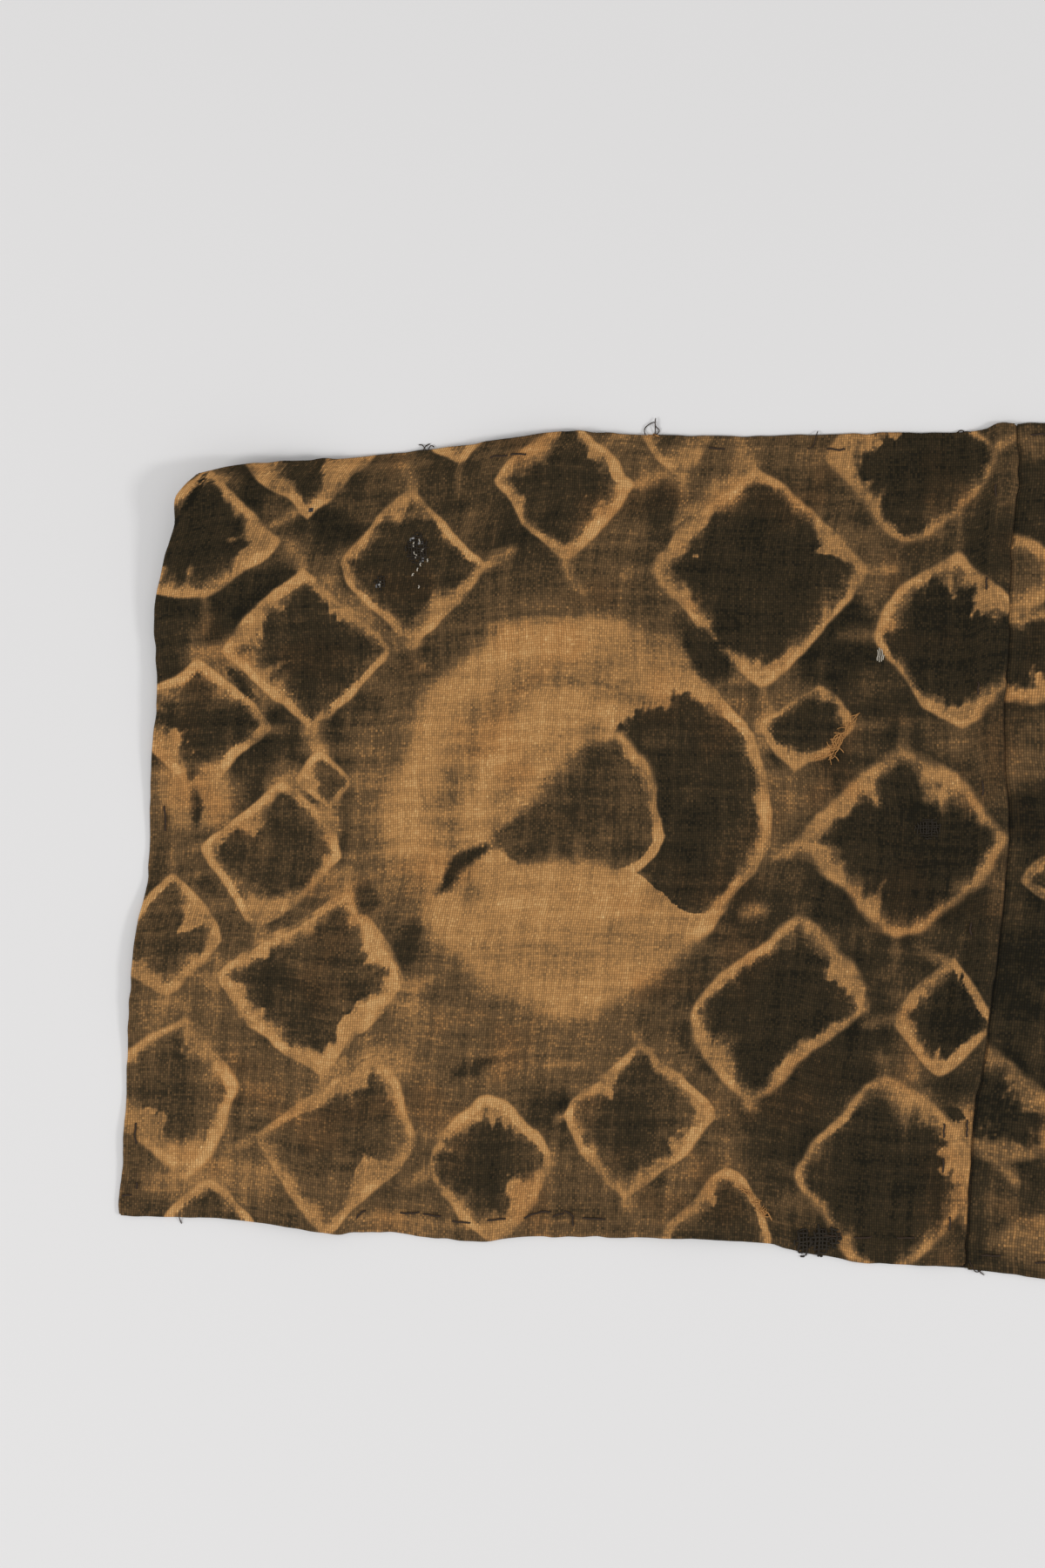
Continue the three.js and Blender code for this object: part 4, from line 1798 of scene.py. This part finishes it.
def left_panel(lie: Lie) -> Panel:
    """Describes the left panel, which laps over its neighbour.

    Args:
        lie: How the cloth lies.

    Returns:
        The panel, not yet built.
    """
    return Panel(
        name="cloth_left",
        node="panel_left",
        corners={
            "north_west": (-406.4, 192.6),
            "north_east": (13.5, 220.0),
            "south_east": (-13.0, -213.5),
            "south_west": (-448.9, -187.7),
        },
        strays=LEFT_STRAYS,
        hems={Side.NORTH: 7.0, Side.SOUTH: 10.0, Side.WEST: 7.0, Side.EAST: 13.0},
        dye=LEFT_DYE,
        finish=RaffiaFinish("dyed_raffia_fine", warp=1.15, weft=1.25),
        lie=lie,
        step=2.25,
        laps_over=True,
        holes=(
            Hole(-348.0, 175.0, 2.0, 1.2),
            Hole(-296.6, 159.5, 0.8, 1.6),
            Hole(-294.0, 160.5, 0.8, 1.8),
            Hole(-293.2, 150.0, 0.8, 1.0),
            Hole(-314.2, 138.2, 0.8, 1.4),
        ),
    )


def right_panel(lie: Lie) -> Panel:
    """Describes the right panel, slightly coarser, with its single edge under the lap.

    Args:
        lie: How the cloth lies.

    Returns:
        The panel, not yet built.
    """
    return Panel(
        name="cloth_right",
        node="panel_right",
        corners={
            "north_west": (13.5 - LAP, 217.2),
            "north_east": (445.0, 213.0),
            "south_east": (446.0, -213.0),
            "south_west": (-13.0 - LAP, -214.6),
        },
        strays=RIGHT_STRAYS,
        hems={Side.NORTH: 7.0, Side.SOUTH: 10.0, Side.WEST: 0.0, Side.EAST: 8.0},
        dye=RIGHT_DYE,
        finish=RaffiaFinish("dyed_raffia_coarse", warp=1.4, weft=1.45, tuck=LAP),
        lie=lie,
        step=2.3,
        tucks_under=True,
    )


# The sewing: along each thread, shares of its length and heights over the cloth there

STITCH_ARC = ((-0.5, -0.5), (-0.42, 0.25), (-0.2, 0.45), (0.0, 0.5), (0.2, 0.45), (0.42, 0.25), (0.5, -0.5))
DARN_ARC = ((-1.0, -0.5), (-0.7, 0.15), (-0.2, 0.3), (0.3, 0.2), (0.75, 0.3), (1.0, -0.5))
FIBRE_ARC = ((-0.5, -0.3), (-0.25, 0.6), (0.0, 1.0), (0.25, 0.8), (0.5, -0.2))
WARP_ARC = ((0.0, -0.3), (0.25, 0.15), (0.5, 0.25), (0.75, 0.15), (1.0, -0.3))


class LaidCloth:
    """The top of the laid sheets, to set threads on."""

    def __init__(self, sheets: list[bpy.types.Object]) -> None:
        """Readies the sheets for measuring.

        Args:
            sheets: The finished sheets.
        """
        graph = bpy.context.evaluated_depsgraph_get()
        self.trees = [BVHTree.FromObject(sheet, graph) for sheet in sheets]

    def top(self, x: float, y: float) -> float:
        """Height of the highest cloth at a place, or of the floor beside it.

        Args:
            x: Place along the cloth.
            y: Place across the cloth.

        Returns:
            The height in millimetres.
        """
        start, down = Vector((x * MM, y * MM, 1.0)), Vector((0, 0, -1))
        hits = [tree.ray_cast(start, down)[0] for tree in self.trees]
        return max((hit.z / MM for hit in hits if hit), default=0.0)


@dataclass(frozen=True)
class Stitch:
    """One stitch on the face of the cloth: its middle, its length, the way it runs and how far it bows."""

    x: float
    y: float
    length: float = 9.5
    turn: float = 0.0
    bow: float = 0.0

    def points(self) -> list[tuple[float, float, float]]:
        """Lays out the stitch.

        Returns:
            Places and heights over the cloth along it, from one pierced hole to the other.
        """
        spots = []
        for share, lift in STITCH_ARC:
            dx, dy = turned(share * self.length, self.bow * math.cos(share * math.pi), self.turn)
            spots.append((self.x + dx, self.y + dy, lift))
        return spots


@dataclass(frozen=True)
class Darn:
    """Threads laid close both ways over a worn place: its middle, half sizes and distance between threads.

    The rest says how unlike the threads are, in length, aside, along, in height and in thickness.
    """

    x: float
    y: float
    half_x: float
    half_y: float
    pitch: float
    lengths: tuple[float, float] = (0.6, 1.1)
    least: float = 0.05
    aside: float = 0.4
    along: float = 0.5
    lift: float = 0.25
    thicks: tuple[float, float] = (0.7, 1.1)


@dataclass(frozen=True)
class Tear:
    """Loose fibres along a tear: its ends, how many there are, how far aside they lie and how long they are.

    The rest says how unlike the fibres are, in direction, length, height, bend and thickness.
    """

    start: tuple[float, float]
    end: tuple[float, float]
    count: int
    spread: float
    length: float
    swing: float = 32.0
    lengths: tuple[float, float] = (0.5, 1.2)
    lifts: tuple[float, float] = (0.3, 1.3)
    bend: float = 0.25
    thicks: tuple[float, float] = (0.6, 1.2)


@dataclass
class ThreadWork:
    """Short threads that lie on or in the cloth, joined into one piece."""

    name: str
    finish: ThreadFinish
    cloth: LaidCloth
    slot: str = "sewing_thread"
    thick: float = 1.0
    sides: int = 6
    fineness: int = 3
    taper: float = 0.55
    pull: float = 0.25
    seed: int = 1
    random: np.random.Generator = field(init=False)
    points: list[np.ndarray] = field(default_factory=list)
    faces: list[tuple[int, ...]] = field(default_factory=list)

    def __post_init__(self) -> None:
        """Readies the piece's own random draws."""
        self.random = np.random.default_rng(self.seed)

    def lay(self, spots: list[tuple[float, float, float]], thick: float | None = None) -> None:
        """Adds one thread.

        Args:
            spots: Places along it and its height there over the cloth.
            thick: Its thickness, where that isn't the piece's own.
        """
        reach = (thick or self.thick) / 2
        heights = [(x, y, max(self.cloth.top(x, y) + lift, reach)) for x, y, lift in spots]
        path = curve_through(np.array(heights), self.fineness)
        ahead = np.gradient(path, axis=0)
        ahead /= np.linalg.norm(ahead, axis=1)[:, None]
        aside = np.cross(ahead, (0.0, 0.0, 1.0)) + np.array((HAIR, 0, 0))
        aside /= np.linalg.norm(aside, axis=1)[:, None]
        above = np.cross(aside, ahead)
        radius = np.full(len(path), reach)
        radius[[0, -1]] *= self.taper
        first = sum(len(part) for part in self.points)
        turns = np.arange(self.sides) * 2 * math.pi / self.sides
        for place, across, up, half in zip(path, aside, above, radius):
            ring = np.cos(turns)[:, None] * across + np.sin(turns)[:, None] * up
            self.points.append(place + half * ring)
        around = [(k, (k + 1) % self.sides) for k in range(self.sides)]
        for row in range(len(path) - 1):
            low = first + row * self.sides
            high = low + self.sides
            self.faces += [(low + k, high + k, high + n, low + n) for k, n in around]
        last = first + (len(path) - 1) * self.sides
        self.faces.append(tuple(range(first, first + self.sides)))
        self.faces.append(tuple(range(last + self.sides - 1, last - 1, -1)))

    def sew(self, stitches: tuple[Stitch, ...]) -> None:
        """Adds a row of stitches, each pulled a little out of line.

        Args:
            stitches: The stitches.
        """
        for stitch in stitches:
            spots = stitch.points()
            pulls = self.random.uniform(-self.pull, self.pull, (len(spots), 2))
            self.lay([(x + dx, y + dy, lift) for (x, y, lift), (dx, dy) in zip(spots, pulls)])

    def darn(self, darn: Darn) -> None:
        """Adds a darn.

        Args:
            darn: Where it is and how it is laid.
        """
        ways = ((True, darn.half_x, darn.half_y), (False, darn.half_y, darn.half_x))
        for upright, wide, tall in ways:
            for offset in np.arange(-wide, wide, darn.pitch):
                bulge = math.sqrt(max(darn.least, 1 - (offset / wide) ** 2))
                reach = tall * bulge * self.random.uniform(*darn.lengths)
                spots = []
                for share, lift in DARN_ARC:
                    aside = offset + self.random.uniform(-darn.aside, darn.aside)
                    along = share * reach + self.random.uniform(-darn.along, darn.along)
                    dx, dy = (aside, along) if upright else (along, aside)
                    spots.append((darn.x + dx, darn.y + dy, lift + self.random.uniform(0, darn.lift)))
                self.lay(spots, self.thick * self.random.uniform(*darn.thicks))

    def fray(self, tear: Tear) -> None:
        """Adds loose fibres along a tear.

        Args:
            tear: Where it is and how its fibres lie.
        """
        (x0, y0), (x1, y1) = tear.start, tear.end
        way = math.degrees(math.atan2(y1 - y0, x1 - x0))
        for share in self.random.uniform(0, 1, tear.count):
            x = x0 + (x1 - x0) * share + self.random.uniform(-tear.spread, tear.spread)
            y = y0 + (y1 - y0) * share + self.random.uniform(-tear.spread, tear.spread)
            turn = way + self.random.normal(0, tear.swing)
            length = tear.length * self.random.uniform(*tear.lengths)
            high = self.random.uniform(*tear.lifts)
            bend = self.random.uniform(-tear.bend, tear.bend) * length
            spots = []
            for part, lift in FIBRE_ARC:
                dx, dy = turned(part * length, bend * math.cos(part * math.pi), turn)
                spots.append((x + dx, y + dy, lift * high))
            self.lay(spots, self.thick * self.random.uniform(*tear.thicks))

    def build(self) -> bpy.types.Object:
        """Joins the threads into one mesh and dresses it.

        Returns:
            The piece, which rides on the cloth.
        """
        piece = new_piece(self.name, np.vstack(self.points), self.faces)
        bpy.ops.object.shade_smooth()
        piece.data.materials.append(self.finish.material())
        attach(piece, "root")
        log.info("%s: %d faces", self.name, len(piece.data.polygons))
        return piece


HEM_STITCHES = (
    # along the south hem
    Stitch(-324, -187, 6.0, 40, 0.6),
    Stitch(-299, -186.5, 10.0, 0),
    Stitch(-287.5, -187.7, 9.5, -10),
    Stitch(-272.3, -191.3, 9.5, -8),
    Stitch(-254.3, -190, 9.5, 6),
    Stitch(-235.5, -188, 9.0, 20, 0.8),
    Stitch(-229, -186, 5.0, 0),
    Stitch(-222.3, -187.7, 6.0, 20, 0.4),
    Stitch(-216.8, -187.2, 5.0, -30, 0.5),
    Stitch(-214.7, -190.8, 4.5, -85),
    Stitch(-204, -189.5, 11.5, -2),
    Stitch(-81, -198.5, 9.0, -3),
    Stitch(-65, -199, 9.5, 4, -0.6),
    Stitch(-43, -199.4, 9.0, 0),
    # along the north hem
    Stitch(-253, 203.2, 9.0, 6, 0.3),
    Stitch(-243, 204.2, 8.0, 2),
    Stitch(-140.5, 208, 8.5, -4, -0.5),
    Stitch(-79, 207.5, 9.5, -3, -0.5),
    # along the west hem
    Stitch(-440, -145.5, 11.0, 90, 0.5),
    Stitch(-439.7, -172.5, 3.0, 90),
    Stitch(-445, -177.3, 5.0, 5),
    Stitch(-425.3, 17, 13.0, 90, -0.4),
)
SEAM_STITCHES = (
    Stitch(-3.6, 32.5, 7.0, 90),
    Stitch(-1.5, 138, 6.0, 90, 0.3),
    Stitch(-23.4, -144, 7.0, 90, 0.3),
    Stitch(-11.7, -143, 9.0, 88),
    Stitch(-23.9, -162, 7.0, 88),
    Stitch(3.0, 186, 6.0, 92),
    Stitch(-6.0, 84, 6.5, 89),
    Stitch(-9.5, -40, 6.0, 87, 0.3),
    Stitch(-20.5, -192, 7.0, 90),
)
DARNS = (
    Darn(-295, 156, 6.0, 8.5, 1.5),
    Darn(-314, 139, 3.0, 4.0, 1.6),
    Darn(-31, 12, 7.0, 5.5, 1.4),
)
HEM_DARNS = (
    Darn(-96, -201.5, 4.4, 7.5, 2.0),
    Darn(-87, -201, 5.0, 8.0, 2.0),
    Darn(-80, -199, 3.4, 5.0, 2.2),
)
TEARS = (
    Tear((-69, 70), (-79, 57), 16, 1.6, 6.0),
    Tear((-79, 57), (-82, 46), 20, 2.6, 6.0),
    Tear((-82, 50), (-92, 47), 8, 1.6, 5.0),
    Tear((-127, -174), (-114, -187), 26, 1.3, 5.0),
    Tear((-176, 214.5), (-171, 214.0), 7, 0.8, 3.0),
)
BARE_WARPS = (
    # warps laid bare by wear: place along the cloth, and from where to where across it
    (-57.4, 98.0, 104.2),
    (-56.4, 97.2, 105.4),
    (-55.2, 97.6, 104.8),
    (-54.3, 98.6, 101.4),
)
WORN_FLECKS = (
    # bare threads that show through the darns: x, y, length and turn
    (-297.0, 158.6, 3.6, 88),
    (-294.0, 159.7, 3.0, 94),
    (-292.3, 155.6, 2.2, 60),
    (-296.6, 154.2, 2.6, 90),
    (-295.6, 152.2, 2.0, 80),
    (-293.0, 151.0, 2.4, 92),
    (-293.4, 148.2, 1.8, 85),
    (-289.8, 150.2, 1.8, 100),
    (-295.0, 145.4, 1.4, 70),
    (-297.4, 142.8, 1.4, 60),
    (-294.2, 136.4, 1.6, 90),
    (-314.2, 137.6, 3.0, 92),
)
LOOSE_THREADS = (
    # a double loop and a single end past the north edge, then bits along it
    ((-177.3, 214.6, -0.3), (-177.8, 217.4, 0.6), (-176.4, 219.6, 0.8), (-172.8, 221.4, 0.8),
     (-171.9, 219.2, 0.9), (-170.1, 217.4, 0.7), (-171.0, 215.6, 0.6), (-172.4, 215.0, -0.3)),
    ((-172.4, 214.8, -0.2), (-172.2, 218.0, 1.4), (-172.3, 221.0, 1.6), (-172.0, 223.6, 1.0)),
    ((-88.2, 217.0, 0.6), (-89.6, 213.3, 0.7), (-90.5, 209.7, 0.5), (-92.7, 207.4, 0.5),
     (-94.0, 208.4, -0.3)),
    ((-292.0, 206.6, -0.2), (-290.6, 209.2, 0.6), (-288.4, 210.4, 0.5)),
    ((-289.4, 206.8, -0.2), (-288.0, 209.4, 0.9), (-286.4, 208.6, 0.6)),
    ((-290.8, 207.0, -0.2), (-292.4, 209.6, 0.6), (-294.4, 209.8, 0.4)),
    ((-16.6, 216.0, -0.2), (-14.4, 217.3, 0.5), (-12.6, 216.7, 0.4)),
    ((-13.4, 216.2, -0.2), (-11.4, 216.6, 0.6), (-9.6, 215.8, 0.4)),
    # ends past the south edge
    ((-10.4, -211.0, -0.2), (-8.2, -215.6, 0.6), (-6.0, -217.4, 0.5), (-4.2, -216.2, 0.4)),
    ((-8.4, -212.0, -0.2), (-5.4, -216.4, 0.6), (-2.2, -219.0, 0.5)),
    ((-418.0, -188.4, -0.2), (-417.4, -191.0, 0.5), (-416.8, -192.4, 0.4)),
)


@dataclass
class Sewing:
    """All that was sewn to the panels or came loose from them."""

    left: Panel
    right: Panel
    spacing: float = 27.0
    inset: float = 0.8
    warp_wave: float = 0.3
    dark_thread: ThreadFinish = ThreadFinish("dark_thread", (50, 38, 28))
    darning_thread: ThreadFinish = ThreadFinish("darning_thread", (38, 32, 24))
    bare_fibre: ThreadFinish = ThreadFinish("bare_fibre", (160, 116, 68))
    worn_warp: ThreadFinish = ThreadFinish("worn_warp", (168, 160, 146))

    def plain_row(self, panel: Panel, side: Side) -> tuple[Stitch, ...]:
        """A plain row of running stitches along one hem.

        Args:
            panel: The panel.
            side: Which hem.

        Returns:
            The stitches, evenly apart.
        """
        inset = panel.hems[side] * self.inset
        level = side in (Side.NORTH, Side.SOUTH)
        run, depth = (panel.width, panel.height) if level else (panel.height, panel.width)
        share = inset / depth if side in (Side.SOUTH, Side.WEST) else 1 - inset / depth
        stitches = []
        for at in np.arange(self.spacing, run - self.spacing / 2, self.spacing) / run:
            u, v = (at, share) if level else (share, at)
            x, y = panel.place(np.array(u), np.array(v))
            stitches.append(Stitch(float(x), float(y), turn=0.0 if level else 90.0))
        return tuple(stitches)

    def build(self) -> dict[Side, list[bpy.types.Object]]:
        """Sews the panels.

        Returns:
            The pieces on the left panel, under WEST, and on the right one, under EAST.
        """
        cloth = LaidCloth([self.left.sheet, self.right.sheet])
        hems = ThreadWork("hem_stitches_left", self.dark_thread, cloth, seed=5)
        hems.sew(HEM_STITCHES)
        seam = ThreadWork("seam_stitches", self.dark_thread, cloth, seed=6)
        seam.sew(SEAM_STITCHES)
        darns = ThreadWork("darns", self.darning_thread, cloth, thick=0.7, seed=7)
        for place in DARNS:
            darns.darn(place)
        hem_darn = ThreadWork("hem_darn", self.darning_thread, cloth, thick=1.1, seed=12)
        for place in HEM_DARNS:
            hem_darn.darn(place)
        loose = ThreadWork("loose_threads", self.dark_thread, cloth, thick=0.55, seed=8)
        for spots in LOOSE_THREADS:
            loose.lay(list(spots))
        fibres = ThreadWork("frayed_fibres", self.bare_fibre, cloth, slot="dyed_raffia", thick=0.5, seed=9)
        for tear in TEARS:
            fibres.fray(tear)
        bare = ThreadWork("bare_warps", self.worn_warp, cloth, slot="dyed_raffia", thick=0.55, seed=11)
        for x, low, high in BARE_WARPS:
            rows = [(low + share * (high - low), lift) for share, lift in WARP_ARC]
            bare.lay([(x + self.warp_wave * math.sin(y), y, lift) for y, lift in rows])
        for x, y, length, turn in WORN_FLECKS:
            bare.sew((Stitch(x, y, length, turn),))
        plain = ThreadWork("hem_stitches_right", self.dark_thread, cloth, seed=10)
        for side in (Side.NORTH, Side.SOUTH, Side.EAST):
            plain.sew(self.plain_row(self.right, side))
        on_left = [work.build() for work in (hems, seam, darns, hem_darn, loose, fibres, bare)]
        return {Side.WEST: on_left, Side.EAST: [plain.build()]}


# The studio


@dataclass(frozen=True)
class Lamp:
    """A square soft lamp: where it hangs, its side in metres and its power in watts."""

    name: str
    place: tuple[float, float, float]
    side: float
    power: float


@dataclass(frozen=True)
class Studio:
    """A plain pale floor, soft light all round with a lamp to either side, and a camera straight above."""

    floor_half: float = 4.0
    lens: float = 50.0
    sensor: float = 36.0
    frame_tall: float = 0.81
    aim: tuple[float, float] = (-0.24075, 0.03465)
    lamps: tuple[Lamp, ...] = (
        Lamp("right", (2.4, -0.6, 1.7), 0.5, 31.0),
        Lamp("left", (-2.7, -0.9, 1.9), 0.9, 41.0),
    )
    daylight: float = 0.61

    def build(self) -> None:
        """Sets the floor, the lights, the camera and the view."""
        bpy.ops.object.select_all(action="DESELECT")
        bpy.ops.mesh.primitive_plane_add(size=2 * self.floor_half, location=(0, 0, 0))
        floor = bpy.context.object
        floor.name = "floor"
        floor.data.materials.append(FloorFinish().material())
        for lamp in self.lamps:
            self._light(lamp)
        world = bpy.data.worlds.new("studio")
        bpy.context.scene.world = world
        world.use_nodes = True
        sky = world.node_tree.nodes["Background"]
        sky.inputs["Color"].default_value = (1.0, 1.0, 1.0, 1.0)
        sky.inputs["Strength"].default_value = self.daylight
        bpy.context.scene.view_settings.view_transform = "Standard"
        self._camera()

    def _light(self, lamp: Lamp) -> None:
        """Hangs a lamp that faces the cloth.

        Args:
            lamp: The lamp.
        """
        glow = bpy.data.lights.new(lamp.name, "AREA")
        glow.size = lamp.side
        glow.energy = lamp.power
        light = bpy.data.objects.new(lamp.name, glow)
        light.location = lamp.place
        facing = Vector((*self.aim, 0)) - Vector(lamp.place)
        light.rotation_euler = facing.to_track_quat("-Z", "Y").to_euler()
        bpy.context.collection.objects.link(light)

    def _camera(self) -> None:
        """Hangs the camera straight above, with the photograph's frame."""
        lens = bpy.data.cameras.new("camera")
        lens.lens = self.lens
        lens.sensor_width = self.sensor
        lens.sensor_fit = "AUTO"
        camera = bpy.data.objects.new("camera", lens)
        camera.location = (*self.aim, self.frame_tall * self.lens / self.sensor)
        bpy.context.collection.objects.link(camera)
        bpy.context.scene.camera = camera


def main() -> None:
    """Builds the cloth and the studio."""
    logging.basicConfig(level=logging.INFO, format="%(name)s %(message)s")
    lie = Lie()
    left, right = left_panel(lie), right_panel(lie)
    for panel in (left, right):
        panel.build()
    pieces = Sewing(left, right).build()
    left.declare(pieces[Side.WEST])
    right.declare(pieces[Side.EAST])
    Studio().build()
    bpy.context.view_layer.update()


if __name__ == "__main__":
    main()
